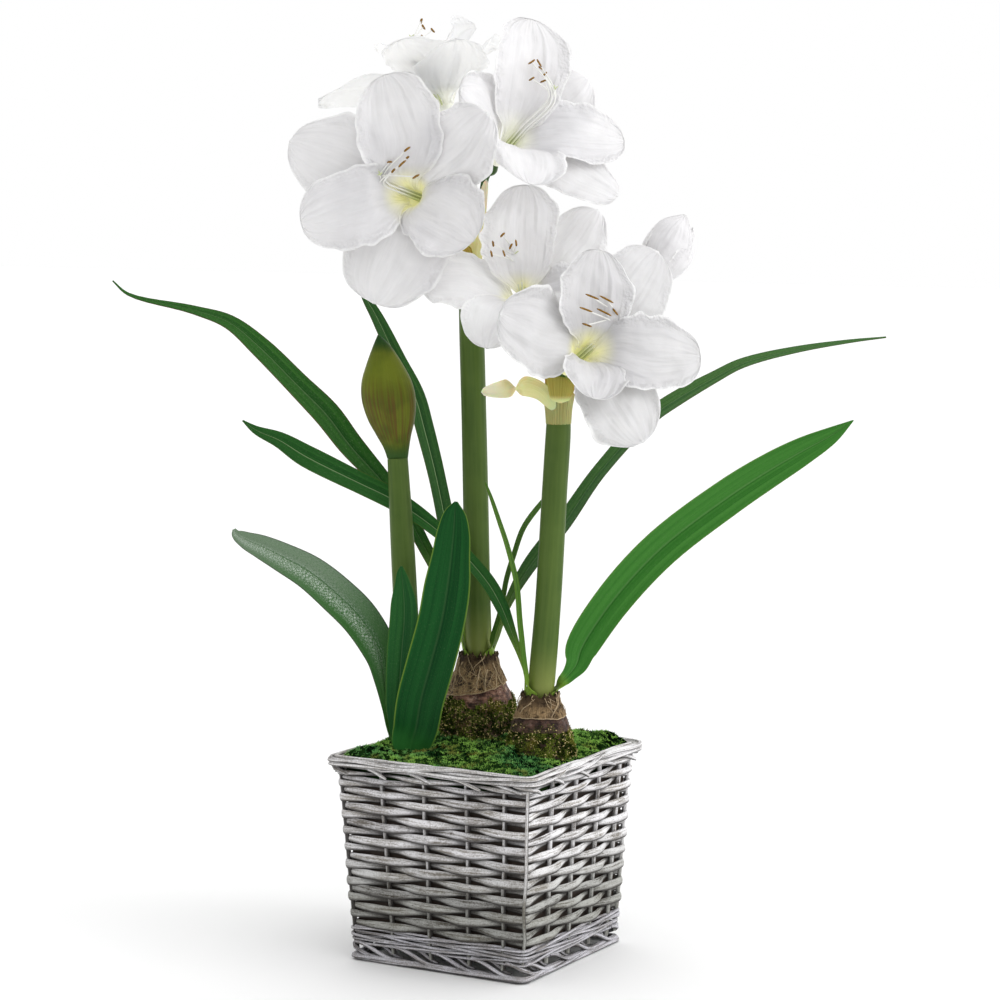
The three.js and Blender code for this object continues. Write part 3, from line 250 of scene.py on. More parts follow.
# ---------------------------------------------------------------- materials
class Paint:
    """A material's nodes, with a short call for each kind, and the colour laid so far."""

    def __init__(self, name, roughness=0.6, **settings):
        self.material = bpy.data.materials.new(name)
        self.material.use_nodes = True
        self.nodes, self.links = self.material.node_tree.nodes, self.material.node_tree.links
        self.surface = self.nodes["Principled BSDF"].inputs
        self.fill(self.surface, Roughness=roughness, **settings)
        map_node = self.nodes.new("ShaderNodeUVMap")
        map_node.uv_map = "place"
        self.uv = map_node.outputs[0]

    def set(self, socket, value):
        if isinstance(value, bpy.types.NodeSocket):
            self.links.new(value, socket)
        elif socket.type == "RGBA":
            socket.default_value = (*value, 1)
        else:
            socket.default_value = value

    def fill(self, sockets, **values):
        for name, value in values.items():
            self.set(sockets[name.replace("_", " ")], value)

    def node(self, kind, **values):
        made = self.nodes.new("ShaderNode" + kind)
        self.fill(made.inputs, **values)
        return made

    def math(self, operation, a, b=0.0):
        node = self.node("Math")
        node.operation = operation
        self.set(node.inputs[0], a)
        self.set(node.inputs[1], b)
        return node.outputs[0]

    def plus(self, a, b):
        return self.math("ADD", a, b)

    def times(self, a, b):
        return self.math("MULTIPLY", a, b)

    def off(self, value, middle):
        """How far a value is from a middle one, either way."""
        return self.math("ABSOLUTE", self.math("SUBTRACT", value, middle))

    def place(self):
        """The share across, after a whole number, and the share or length along."""
        return self.node("SeparateXYZ", Vector=self.uv).outputs[:2]

    def across(self):
        return self.math("FRACT", self.place()[0])

    def along(self):
        return self.place()[1]

    def object_place(self):
        return self.nodes.new("ShaderNodeTexCoord").outputs["Object"]

    def stretched(self, across, along):
        return self.node("Mapping", Vector=self.uv, Scale=(across, along, 1)).outputs[0]

    def noise(self, at, scale, detail, roughness):
        values = {"Vector": at, "Scale": scale, "Detail": detail, "Roughness": roughness}
        return self.node("TexNoise", **values).outputs["Fac"]

    def lines(self, across, along, detail=3, roughness=0.6):
        """Noise on the skin's place, so much finer across it and along it."""
        return self.noise(self.stretched(across, along), 1, detail, roughness)

    def spots(self, scale, detail=3, roughness=0.55):
        return self.noise(self.object_place(), scale, detail, roughness)

    def per_piece(self):
        """A random number for each whole number in the place's first part."""
        node = self.node("TexWhiteNoise")
        node.noise_dimensions = "1D"
        self.fill(node.inputs, W=self.math("FLOOR", self.place()[0]))
        return node.outputs["Value"]

    def span(self, value, low, high, to_low=0.0, to_high=1.0):
        limits = {"From_Min": low, "From_Max": high, "To_Min": to_low, "To_Max": to_high}
        node = self.node("MapRange", Value=value, **limits)
        node.interpolation_type = "SMOOTHSTEP"
        return node.outputs["Result"]

    def mix(self, share, a, b, blend="MIX"):
        node = self.node("Mix")
        node.data_type, node.blend_type = "RGBA", blend
        self.set(node.inputs["Factor"], share)
        self.set(node.inputs[6], a)
        self.set(node.inputs[7], b)
        return node.outputs[2]

    def start(self, value, low, high, dark, light):
        """From one colour to another as a value goes from low to high."""
        self.colour = self.mix(self.span(value, low, high), dark, light)

    def cover(self, colour, share):
        """Lays a share of a colour over what is there."""
        self.colour = self.mix(share, self.colour, colour)

    def over(self, colour, value, low, high, most=1.0):
        """The same, with a share that grows from none to most as a value goes from low to high."""
        self.cover(colour, self.span(value, low, high, 0, most))

    def done(self, height=None, distance=0.0, strength=1.0):
        """The material, in the colour laid last, with a bump of so many metres."""
        self.fill(self.surface, Base_Color=self.colour)
        if height is not None:
            node = self.node("Bump", Strength=strength, Distance=distance, Height=height)
            self.fill(self.surface, Normal=node.outputs["Normal"])
        return self.material


# ---------------------------------------------------------------- the willow basket
def weave_half(z):
    return lerp(BASKET_FOOT_HALF, BASKET_TOP_HALF, np.asarray(z) / BASKET_HEIGHT)


def round_square(half, corner, share, z):
    """Points round a level square with rounded corners, and the way out at each. The share
    goes from 0 to 4, from the middle of one corner to the next."""
    share = np.asarray(share, dtype=float)
    side = np.floor(share)
    arc, flat = corner * math.pi / 4, 2 * (half - corner)
    gone = (share - side) * (flat + 2 * arc)
    lean = np.clip(gone / arc - 1, -1, 0) + np.clip((gone - arc - flat) / arc, 0, 1)
    lean = lean * math.pi / 4
    x = np.clip(gone - arc, 0, flat) - (half - corner) + corner * np.sin(lean)
    y = -(half - corner) - corner * np.cos(lean)
    turn = side * math.pi / 2
    cos, sin = np.cos(turn), np.sin(turn)
    way = turn + lean - math.pi / 2
    return columns(x * cos - y * sin, x * sin + y * cos, z), columns(np.cos(way), np.sin(way), 0)


STAKE_SHARES = np.array([side + place for side in range(4) for place in STAKE_PLACES])
WOVEN_SHARES = STAKE_SHARES[STAKE_SHARES % 1 > 0]  # all but the corner ones
WEAVE_CORNER = 5


def stakes_passed(share):
    """How many woven stakes lie before a share of the way round, counted smoothly."""
    shares = np.concatenate([WOVEN_SHARES[-1:] - 4, WOVEN_SHARES, WOVEN_SHARES[:1] + 4])
    return np.interp(share, shares, np.arange(len(shares)) - 1)


def weaver_rows():
    """The level of each weaver, and its row's height: the rows get finer under the rim."""
    share = (np.arange(WEAVE_ROWS) + 0.5) / WEAVE_ROWS
    pitch = lerp(1.0, 0.62, smoothstep(share, 0.7, 1.0))
    pitch = pitch * (WALL_TOP - WEAVE_BOTTOM) / pitch.sum()
    return zip(WEAVE_BOTTOM + np.cumsum(pitch) - pitch / 2, pitch)


def weave_wall():
    """Flattened weavers, each in front of every second stake, and the stakes."""
    skin = Skin()
    middle, swing = -1.1, 3.1
    deep, tall = (1.0, 1.45), (0.30, 0.55)  # half sizes, behind a stake and before it
    share = np.linspace(0, 4, 280, endpoint=False)
    for row, (level, pitch) in enumerate(weaver_rows()):
        wave = np.cos(math.pi * (stakes_passed(share) + row))
        front = smoothstep(wave, -1, 0.9)
        base, out = round_square(weave_half(level), WEAVE_CORNER, share, level)
        place = base + [0, 0, 50 * row]
        plump = 1 + 0.17 * value_noise(place, 62, seed=2) + 0.06 * value_noise(place, 9, seed=5)
        path = base + out * (middle + swing * wave + 0.5 * value_noise(place, 17, seed=3))[:, None]
        path = path + UP * (0.16 * pitch * value_noise(place, 30, seed=1))[:, None]
        width, height = lerp(*deep, front) * plump, pitch * lerp(*tall, front) * plump
        skin.rod(path, width, height, out, sides=10, number=row, closed=True)
    z = np.linspace(STAKE_FOOT, STAKE_TOP, 24)
    for k, place in enumerate(STAKE_SHARES):
        base, out = round_square(weave_half(z), WEAVE_CORNER, place, z)
        sway = 1.1 * value_noise(base + [0, 0, 9 * k], 30, seed=4)
        near = place == 1  # the near corner's one stands proud, down to the waling
        proud = -1.3 + (3.2 if near else 0) * smoothstep(z, 26, 36)
        path = base + out * proud[:, None] + np.cross(UP, out) * sway[:, None]
        thick = 1.4 if near else 2.0
        skin.rod(path, thick, thick, out, number=WEAVE_ROWS + k)
    return skin


def add_rope(skin, number, half, z, corner, strands, reach, turns, radius, seed, low=None, stray=0.9):
    """Strands laid round the square, winding slowly about the middle of their bundle."""
    share = np.linspace(0, 4, 240, endpoint=False)
    base, out = round_square(half, corner, share, z)
    for k in range(strands):
        bend = value_noise(base + [0, 0, 70 * k], 52, seed)
        twist = 2 * math.pi * (k / strands + turns * share / 4) + stray * bend
        path = base + out * (reach[0] * np.cos(twist))[:, None]
        path = path + UP * (reach[1] * np.sin(twist))[:, None]
        thick = radius * (1 + 0.18 * value_noise(base + [0, 0, 70 * k], 70, seed + 5))
        if low is not None:
            path[:, 2] = np.maximum(path[:, 2], low + 0.95 * thick)
        skin.rod(path, thick, 0.92 * thick, out, number=number + k, closed=True)


def weave_rim():
    """Thin rods laid along the top, and the ends that slant out under them, cut at a slant."""
    skin = Skin()
    middle = BASKET_TOP_HALF + 2.1
    add_rope(skin, 0, middle, RIM_Z + 1.1, WEAVE_CORNER, 7, (4.8, 3.8), 1, 1.55, seed=11, stray=1.5)
    add_rope(skin, 7, middle, RIM_Z + 0.2, WEAVE_CORNER, 4, (2.8, 2.0), -2, 1.8, seed=12)
    t, radius, level = np.linspace(0, 1, 7), 1.7, RIM_Z - 2.1
    for k, place in enumerate(STAKE_SHARES):
        across, drop = 0.12 + 0.03 * math.sin(5 * k), 6.5 + math.sin(3 * k)
        base, out = round_square(weave_half(level), WEAVE_CORNER, place - 0.05 + across * t, level)
        path = base + out * (4.4 + 0.2 * t)[:, None] - UP * (drop * t**1.3)[:, None]
        skin.rod(path, radius * (1 - 0.75 * t**7), radius * (1 - 0.3 * t**7), out, number=12 + k)
    return skin


def weave_waling():
    """Pairs of thin rods that cross each other slowly as they go round."""
    skin = Skin()
    for k, (z, turns) in enumerate(((16.6, 3), (21.0, -4), (25.6, 3))):
        half = weave_half(z) - 0.2
        add_rope(skin, 3 * k, half, z, WEAVE_CORNER, 3, (1.7, 2.1), turns, 1.3, seed=20 + k)
    return skin


def weave_lattice():
    """The stakes' ends, which slant down to the foot with open triangles between them. The
    outer ones run on along the foot."""
    skin = Skin()
    t = np.linspace(0, 1, 15)
    top = 15.4
    # where each starts and how far it goes, as shares of a side, its relief, how low it comes
    # and the share of it that slants
    ends = ((0.02, 0.36, 0.6, 4.4, 0.62), (0.11, 0.15, -3.4, 6.0, 1.0))
    for k, place in enumerate(STAKE_SHARES):
        for inner, (start, reach, relief, low, landed) in enumerate(ends):
            z = lerp(top, low, smoothstep(t, 0, landed))
            share = place + start + reach * t
            path, out = round_square(weave_half(z) + relief, WEAVE_CORNER, share, z)
            thin = 1 - 0.45 * t**5
            skin.rod(path, 1.6 * thin, 1.75 * thin, out, number=2 * k + inner)
    return skin


def weave_foot():
    """Three rods that wind about each other on the ground."""
    skin = Skin()
    add_rope(skin, 0, BASKET_FOOT_HALF, 3.0, 4, 3, (2.3, 1.3), 2, 1.8, seed=31, low=0.0)
    return skin


def weave_base():
    """The woven panel that the liner stands on: rods over and under crossing ribs."""
    skin = Skin()
    half, ribs, rows = weave_half(16) - 5.2, 5, 23
    t = np.linspace(-1, 1, 61)
    for row in range(rows):
        y = lerp(-half + 3, half - 3, row / (rows - 1))
        wave = np.cos(math.pi * (t * ribs / 2 + 0.5 * ribs + row))
        skin.rod(columns(t * half, y, BASE_Z + 1.1 * wave), 2.6, 0.9, vector(0, 1, 0), number=row)
    for rib in range(ribs):
        x = lerp(-half, half, (rib + 0.5) / ribs)
        path = columns(x, np.linspace(-half, half, 9), BASE_Z)
        skin.rod(path, 1.8, 0.9, vector(1, 0, 0), number=rows + rib)
    return skin


# ---------------------------------------------------------------- moss
def add_spikes(skin, roots, ways, lengths, widths, tones):
    """Many slim three-sided points, each from its root. Its place is a tone and 0 to 1 along."""
    ways = unit(ways)
    side = unit(np.cross(ways, vector(0.31, 0.77, 0.55)))
    other = np.cross(ways, side)
    rays = [side * math.cos(angle) + other * math.sin(angle) for angle in round_angles(3)]
    corners = [roots + ray * widths[:, None] for ray in rays]
    points = np.stack([*corners, roots + ways * lengths[:, None]], axis=1)
    base = 4 * np.arange(len(roots))[:, None, None]
    faces = (base + np.array([[0, 2, 1], [0, 1, 3], [1, 2, 3], [2, 0, 3]])).reshape(-1, 3)
    skin.add(points, tones[:, None], [0, 0, 0, 1], faces)


def bulb_mound(x, y, name, height, reach):
    """The swell of the moss about a bulb, at points of the basket's frame."""
    at = TURN @ [*BULBS[name]["at"], 0]
    return height * np.exp(-((np.hypot(x - at[0], y - at[1]) / reach) ** 4))


def moss_height(x, y):
    edge = (MOSS_HALF - np.maximum(np.abs(x), np.abs(y))) / (2 * MOSS_HALF)
    inside = smoothstep(edge, -0.02, 0.05)
    sides = 9 * smoothstep(y, 20, 78) + 2 * smoothstep(x + y, 120, 165) + 8 * smoothstep(-x, 35, 80)
    level = MOSS_EDGE - 1 + 8 * smoothstep(edge, 0, 0.28) + sides * inside
    level = level + bulb_mound(x, y, "back", 5, 46) + bulb_mound(x, y, "front", 3, 38)
    place = columns(x, y, 0)
    for height, size, seed in ((2.0, 21, 41), (1.8, 8, 42), (1.2, 3.4, 43)):
        level = level + height * value_noise(place, size, seed)
    return level


def add_rosettes(skin, draw, roots, ways, tones, points):
    """Small stars of leafy points, each star about its own way up."""
    count = len(roots)
    ways = unit(ways)
    side = unit(np.cross(ways, draw.normal(0, 1, (count, 3))))
    other = np.cross(ways, side)
    for k in range(points):
        turn = 2 * math.pi * k / points + draw.uniform(-0.4, 0.4, count)
        step = side * np.cos(turn)[:, None] + other * np.sin(turn)[:, None]
        lift = draw.uniform(0.35, 1.5, count)[:, None]
        lengths, widths = draw.uniform(1.5, 3.4, count), draw.uniform(0.4, 0.7, count)
        shades = np.clip(tones + draw.normal(0, 0.15, count), 0, 1)
        add_spikes(skin, roots, step + ways * lift, lengths, widths, shades)


def make_moss(moss):
    """A mound of cushions, covered all over in small leafy stars."""
    skin = Skin()
    line = np.linspace(-MOSS_HALF, MOSS_HALF, 97)
    x, y = np.meshgrid(line, line, indexing="ij")
    top, bottom = columns(x, y, moss_height(x, y)), columns(0.965 * x, 0.965 * y, MOSS_BOTTOM)
    rings = np.concatenate([top, bottom[:, ::-1]], axis=1)
    # the bed under the stars takes the colour at the points' feet: painted shade
    skin.loft(rings, 0.3 + 0.3 * value_noise(rings, 12, seed=44), 0.1, flat=True)

    draw = np.random.default_rng(7)
    x, y = draw.uniform(-MOSS_HALF - 0.6, MOSS_HALF + 0.6, (2, MOSS_STARS))
    roots = columns(x, y, moss_height(x, y) - 0.5)
    place = columns(x, y, 0)
    outward = place / MOSS_HALF
    ways = UP + draw.normal(0, 0.35, roots.shape) + 0.5 * np.abs(outward) ** 6 * np.sign(outward)
    # painted light and shade: the tone follows the moss's bumps, lighter on the raised places and darker
    # in the dips
    raised = 0.8 * value_noise(place, 8, seed=42) + 1.0 * value_noise(place, 3.4, seed=43)
    clump = 0.6 * value_noise(roots, 13, seed=44) + raised
    # painted light: the moss is painted lighter towards the back and the left, where more light falls
    painted_sunlight = 0.22 * smoothstep(y, 0, 70) + 0.16 * smoothstep(-x, 20, 80)
    tones = np.clip(0.50 + painted_sunlight + 0.45 * clump + draw.normal(0, 0.25, len(roots)), 0.15, 1)
    add_rosettes(skin, draw, roots, ways, tones, points=5)
    skin.build("moss_bed", [moss], "moss", ["moss"], from_basket)


def make_bulb_moss(name, bulb, moss, count, per_straw):
    """Moss that climbs the bulb, thinner with height, and a bit of golden straw to every few
    stars of it."""
    skin = Skin()
    draw = np.random.default_rng(50 + len(name))
    low, high = bulb["moss"]
    angle = draw.uniform(0, 2 * math.pi, count)
    way = columns(np.cos(angle), np.sin(angle), 0)
    reach = 0.94 + 0.08 * value_noise(30 * way, 22, bulb["seed"]) + 0.25 * value_noise(30 * way, 7, 64)
    share = draw.beta(1.0, 0.95, count) * reach
    roots = on_bulb(bulb, angle, low + (high - low) * share, -0.2)
    clump = value_noise(roots, 4.2, seed=65) + 0.5 * value_noise(roots, 9, seed=66)
    tones = np.clip(0.46 - 0.1 * share + 0.5 * clump + draw.normal(0, 0.22, count), 0, 0.95)
    add_rosettes(skin, draw, roots, way + 0.4 * UP, tones, points=4)
    straws = count // per_straw
    picked = draw.choice(count, straws, replace=False)
    ways = np.cross(way[picked], draw.normal(0, 1, (straws, 3))) + 0.3 * way[picked]
    lengths, widths = draw.uniform(0.8, 2.0, straws), draw.uniform(0.35, 0.6, straws)
    add_spikes(skin, roots[picked] + 2.2 * way[picked], ways, lengths, widths, np.full(straws, 1.6))
    skin.build(f"bulb_moss_{name}", [moss], "moss", [])


# ---------------------------------------------------------------- bulbs
# Each bulb's tunic factor multiplies the colours of its papery tunic: painted light and shade, lighter
# for the back bulb, which stands in shade, and darker for the front one.
BULBS = {
    "back": {
        "at": (-7, 35), "neck": 237, "seed": 3, "bright": 1.6, "band": 2.4, "moss": (162, 207),
        "layers": ((212, 240, 1),), "fibres": 60, "net": 0.5, "slope": 4.5,
        "outline": [
            (0.4, 103), (16, 104), (30, 118), (36, 145), (35.5, 168), (32.5, 185), (28.5, 201),
            (25.6, 208.5), (24, 211), (20.6, 219), (16.6, 229), (14.6, 237.5),
        ],
    },
    "front": {
        "at": (43, -25), "neck": 214, "seed": 5, "bright": 1.6, "band": 0.8, "moss": (163, 194),
        "layers": ((188, 204, 0), (199, 217, 1)), "fibres": 26, "net": 0.15, "slope": 1.0,
        "outline": [
            (0.4, 94), (13, 95), (24, 107), (28.6, 132), (28.8, 160), (27, 173), (23.6, 185),
            (20.6, 196), (18.6, 202), (14.4, 214.5),
        ],
    },
    "side": {
        "at": (-58, -6), "neck": 152, "seed": 9, "bright": 1.0, "band": 1.0, "layers": (), "net": 0.5,
        "outline": [(0.4, 64), (11, 65), (22, 80), (25, 100), (20, 124), (16, 140), (14.4, 152)],
    },
}


def on_bulb(bulb, angle, height, proud):
    """Points on a bulb: its outline turned round, with folds that run down it."""
    radii, levels = np.array(bulb["outline"]).T
    radius = np.interp(height, levels, radii)
    place = columns(30 * np.cos(angle), 30 * np.sin(angle), height / 3)
    folds = 0.6 * value_noise(place, 7, bulb["seed"]) + 0.35 * value_noise(place, 2.6, 60)
    radius = radius + folds * smoothstep(radius, 2, 10) + proud
    x, y = bulb["at"]
    return columns(x + radius * np.cos(angle), y + radius * np.sin(angle), height)


def add_layer(skin, bulb, low, high, netted):
    """A papery layer round the bulb, torn at both its edges, as one closed sheet."""
    rows, angle = 16, round_angles(120)
    ring = columns(30 * np.cos(angle), 30 * np.sin(angle), 0)
    bottom = low + bulb["slope"] * np.cos(angle)
    bottom = bottom + 1.6 * value_noise(ring, 21, bulb["seed"]) + 0.9 * value_noise(ring, 4, 61)
    teeth = np.abs(value_noise(ring, 5.5, 62)) + 0.6 * np.abs(value_noise(ring, 2.2, 63))
    share = np.linspace(0, 1, rows)[:, None]
    height = lerp(bottom, high + 3.6 * (teeth - 0.6), share)
    proud = 0.9 * (1 - smoothstep(share, 0.0, 0.9)) + 0.5
    proud = proud + 1.4 * smoothstep(height, bulb["neck"] - 2, bulb["neck"] + 3)
    outer, inner = (on_bulb(bulb, angle, height, proud - wall) for wall in (0, 1.1))
    rings = np.concatenate([outer, inner[::-1]])
    u, v = angle / (2 * math.pi) + 1 + netted, (rings[..., 2] - bulb["neck"]) / 100
    skin.loft(rings, u, v, 2 * netted, closed=True)
    if netted:
        hem = on_bulb(bulb, angle, bottom, 1.3)
        skin.rod(hem, 0.42, 0.42, UP, sides=5, number=2, paint=1, closed=True)


def add_tunic_strips(skin, bulb, count, paint):
    """Dry papery points that stand round the neck and curl away from the stems."""
    draw = np.random.default_rng(bulb["seed"])
    t, across = np.linspace(0, 1, 7), np.linspace(-1, 1, 5)
    for k in range(count):
        angle = 2 * math.pi * (k + draw.uniform(-0.3, 0.3)) / count
        way = vector(math.cos(angle), math.sin(angle), 0)
        side = np.cross(UP, way)
        tall, curl = draw.uniform(1.5, 7.5), draw.uniform(0.2, 2.6)
        radius = 14.1 + 0.7 * (k % 3) - 1.2 * t + curl * t**2.5
        middle = way * radius[:, None] + side * (draw.uniform(-2, 2) * t**2)[:, None]
        middle = middle + UP * (bulb["neck"] - 7 + (tall + 7) * t)[:, None] + [*bulb["at"], 0]
        half = (draw.uniform(2.0, 4.2) * (1 - t**1.4) + 0.12)[:, None]
        surface = middle[:, None] + side * (half * across)[..., None]
        skin.sheet(surface - way * (0.12 * half * across**2)[..., None], 0.35, k, paint)


def add_fibres(skin, bulb, low, high, count, paint):
    """Loose fibres that cross each other on a layer, some down it and some slanting round."""
    draw = np.random.default_rng(bulb["seed"] + 1)
    t = np.linspace(0, 1, 11)
    for k in range(count):
        start = draw.uniform(0, 2 * math.pi)
        top = high + 2.5 - (high - low) * draw.uniform(0, 0.6)
        height = top - (high - low) * draw.uniform(0.25, 1.0) * t
        height = np.maximum(height, low + draw.uniform(-0.5, 1.5))
        slant = draw.choice([-1.0, 1.0]) * draw.uniform(0.05, 0.75)
        angle = start + slant * t + 0.04 * np.sin(6 * t + k)
        path = on_bulb(bulb, angle, height, 1.0 + 0.8 * np.sin(math.pi * t) * draw.uniform(0.2, 2.0))
        thick = draw.uniform(0.2, 0.6) * (1 - 0.5 * t)
        skin.rod(path, thick, thick, UP, sides=4, number=k, paint=paint)


def make_bulb(name, bulb, materials):
    """The body, its torn papery layers, and the fringe and fibres round its neck."""
    skin = Skin()
    (_, bottom), *_, (_, top) = bulb["outline"]
    rows, angle = 84, round_angles(96)
    height = np.append(np.linspace(bottom, top, rows), top - 4)[:, None]
    proud = np.append(np.zeros(rows), -2.6)[:, None]
    v = (height - bulb["neck"]) / 100
    skin.loft(on_bulb(bulb, angle, height, proud), angle / (2 * math.pi), v)
    for low, high, netted in bulb["layers"]:
        add_layer(skin, bulb, low, high, netted)
        if netted:
            add_fibres(skin, bulb, low, high, bulb["fibres"], paint=1)
    add_tunic_strips(skin, bulb, 17, paint=2)
    skin.build(f"tunic_{name}", materials, "bulb", [f"bulb_{name}"], sharp=70)


# ---------------------------------------------------------------- stems
SCAPES = {  # places up each stem, and its radius there
    "back": [
        (-7, 35, 222, 8.4), (-7, 35, 234, 8.6), (-7, 35, 244, 10.3), (-8, 35.5, 300, 10.5),
        (-10.5, 36, 430, 10.2), (-13, 36, 533, 9.7), (-13, 36, 552, 8.3),
    ],
    "front": [
        (43, -25, 199, 8.4), (43, -25, 211, 8.6), (43.6, -25, 221, 10.3), (49, -26, 290, 10.4),
        (54, -27, 380, 10.1), (57, -28, 433, 9.8), (57, -28, 452, 8.3),
    ],
    "side": [
        (-58, -6, 137, 8), (-58, -6, 151, 8), (-58.8, -5, 162, 9.4), (-62.5, -1, 220, 9.8),
        (-67.5, 6, 320, 9.8), (-72, 12, 402.3, 8.3),
    ],
}


def make_scape(name, sections, green):
    skin = Skin()
    path = smooth_path(sections, 90)
    skin.rod(path[:, :3], path[:, 3], path[:, 3], FRONT, sides=36)
    skin.build(f"stem_{name}", [green], "stem", [f"scape_{name}"])


def make_pedicel(name, bloom, green):
    """A stalk that swells into an ovary under its bloom."""
    skin = Skin()
    neck, axis = bloom_frame(bloom)
    start = vector(*bloom["from"])
    turns = [start, start + 9 * UP, neck - 18 * axis, neck - 8 * axis, neck - 0.4 * axis]
    path = smooth_path(turns, 60)
    left = along_path(path)[-1] - along_path(path)
    radius = 2.9 + 2.7 * bump(left, 9, 6.5)
    skin.rod(path, radius, radius, vector(0.2, -0.9, 0.3), sides=18)
    skin.build(f"stalk_{name}", [green], "stem", [f"pedicel_{name}"])


# ---------------------------------------------------------------- strap leaves
# A leaf's bulb, its way out in degrees, how far it clasps the neck, its tilt in degrees, and the
# places and widths up its midrib.
LEAVES = {
    "leaf_back_long_left": ("back", 180, 10, 38, [
        (-23, 40, 263, 8.1), (-34, 42, 291, 11.2), (-51, 46, 325, 13.2), (-67, 50, 354, 15.2),
        (-86, 54, 379, 18.3), (-113, 58, 409, 24), (-132, 60, 434, 25.9), (-157, 63, 459, 22.8),
        (-186, 66, 488, 20.3), (-212, 69, 509, 14.2), (-241, 71, 519, 8.7), (-295, 74, 532, 3),
        (-308, 75, 543, 1.2),
    ]),
    "leaf_back_upper_left": ("back", 142, 8, 42, [
        (-21, 46, 257, 9.7), (-26, 52, 281, 15.1), (-32, 60, 330, 18.3), (-41, 65, 377, 17.8),
        (-52, 68, 422, 19.4), (-59, 69, 447, 19.4), (-73, 69, 476, 17.2), (-91, 67, 514, 12.4),
        (-99, 66, 528, 8.6), (-106, 65, 541, 1.6),
    ]),
    "leaf_back_long_right": ("back", 12, 10, 54, [
        (8, 40, 251, 9.5), (15, 44, 274, 10.2), (34, 50, 308, 17.7), (62, 54, 343, 20.4),
        (93, 58, 387, 17.7), (134, 62, 431, 19.1), (157, 63, 447, 18.6), (189, 65, 465, 14.3),
        (211, 66, 476, 12.2), (256, 67, 487, 8.2), (294, 68, 493, 4.8), (328, 69, 497, 1.4),
    ]),
    "leaf_back_slim_right": ("back", -38, 7, 50, [
        (4.5, 24.5, 254, 5.6), (11.5, 26.5, 277, 5.8), (16, 32, 301, 6), (22, 38, 320, 6),
        (30, 42, 342, 6), (43, 48, 360, 5.6), (60, 54, 379, 1.2),
    ]),
    "leaf_front_long_left": ("front", 186, 8, 38, [
        (31, -27, 230, 5.1), (27, -26, 246, 6.1), (20, -22, 265, 9.1), (11, -16, 287, 13.2),
        (0, -8, 305, 14.2), (-26, 10, 332, 13.7), (-41, 16, 344, 14.2), (-61, 23, 358, 17.3),
        (-82, 29, 370, 20.3), (-102, 34, 379, 20.3), (-148, 42, 401, 21.3), (-170, 46, 414, 15.2),
        (-189, 48, 422, 8.1), (-200, 49, 430, 1.2),
    ]),
    "leaf_front_slim_left": ("front", 222, 8, 50, [
        (30, -36, 242, 6.2), (27, -34, 269, 6.5), (23, -30, 309, 6.2), (16, -26, 337, 5.6),
        (10, -23, 355, 5), (3, -20, 375, 3.7), (-1, -18, 386, 1.5),
    ]),
    "leaf_front_broad_right": ("front", 4, 11, 6, [
        (57, -26, 221, 11), (61, -26, 227, 10), (66, -24, 232, 12), (72, -21, 240, 18.5),
        (76, -16, 252, 25.7), (101, -8, 289, 29.4), (140, 3, 330, 30.6), (194, 14, 370, 29.8),
        (227, 19, 391, 27.3), (255, 22, 407, 22.5), (279, 24, 420, 13.7), (297, 26, 432, 1),
    ]),
    "leaf_side_arching": ("side", 180, 8, 20, [
        (-80, -5, 185, 5.1), (-81, -3, 204, 11.1), (-83, 0, 226, 19.6), (-87, 4, 246, 28.1),
        (-102, 8, 271, 31.5), (-122, 12, 291, 31.5), (-143, 16, 308, 28.9), (-165, 20, 320, 24.7),
        (-184, 24, 329, 19.6), (-196, 26, 334, 14.5), (-204, 27, 339, 8.5), (-206, 28, 343, 2.6),
    ]),
    "leaf_side_small": ("side", 226, 8, 8, [
        (-73, -17, 187, 11.3), (-72, -19, 202, 17.8), (-70, -22, 227, 21.8), (-68, -25, 252, 23.4),
        (-66, -27, 276, 23), (-66, -28, 293, 20.2), (-67, -28, 306, 12.9), (-68, -28, 315, 7.3),
        (-68, -28, 320, 1.6),
    ]),
    "leaf_side_broad": ("side", 264, 10, 5, [
        (-61, -23, 174, 30), (-57, -27, 189, 36), (-53, -31, 212, 38), (-45, -36, 242, 38.5),
        (-36, -41, 277, 37.7), (-31, -44, 307, 36.5), (-28, -46, 331, 30.5), (-26, -47, 351, 25.7),
        (-25, -48, 366, 16.1), (-24, -48, 374, 2.4),
    ]),
}


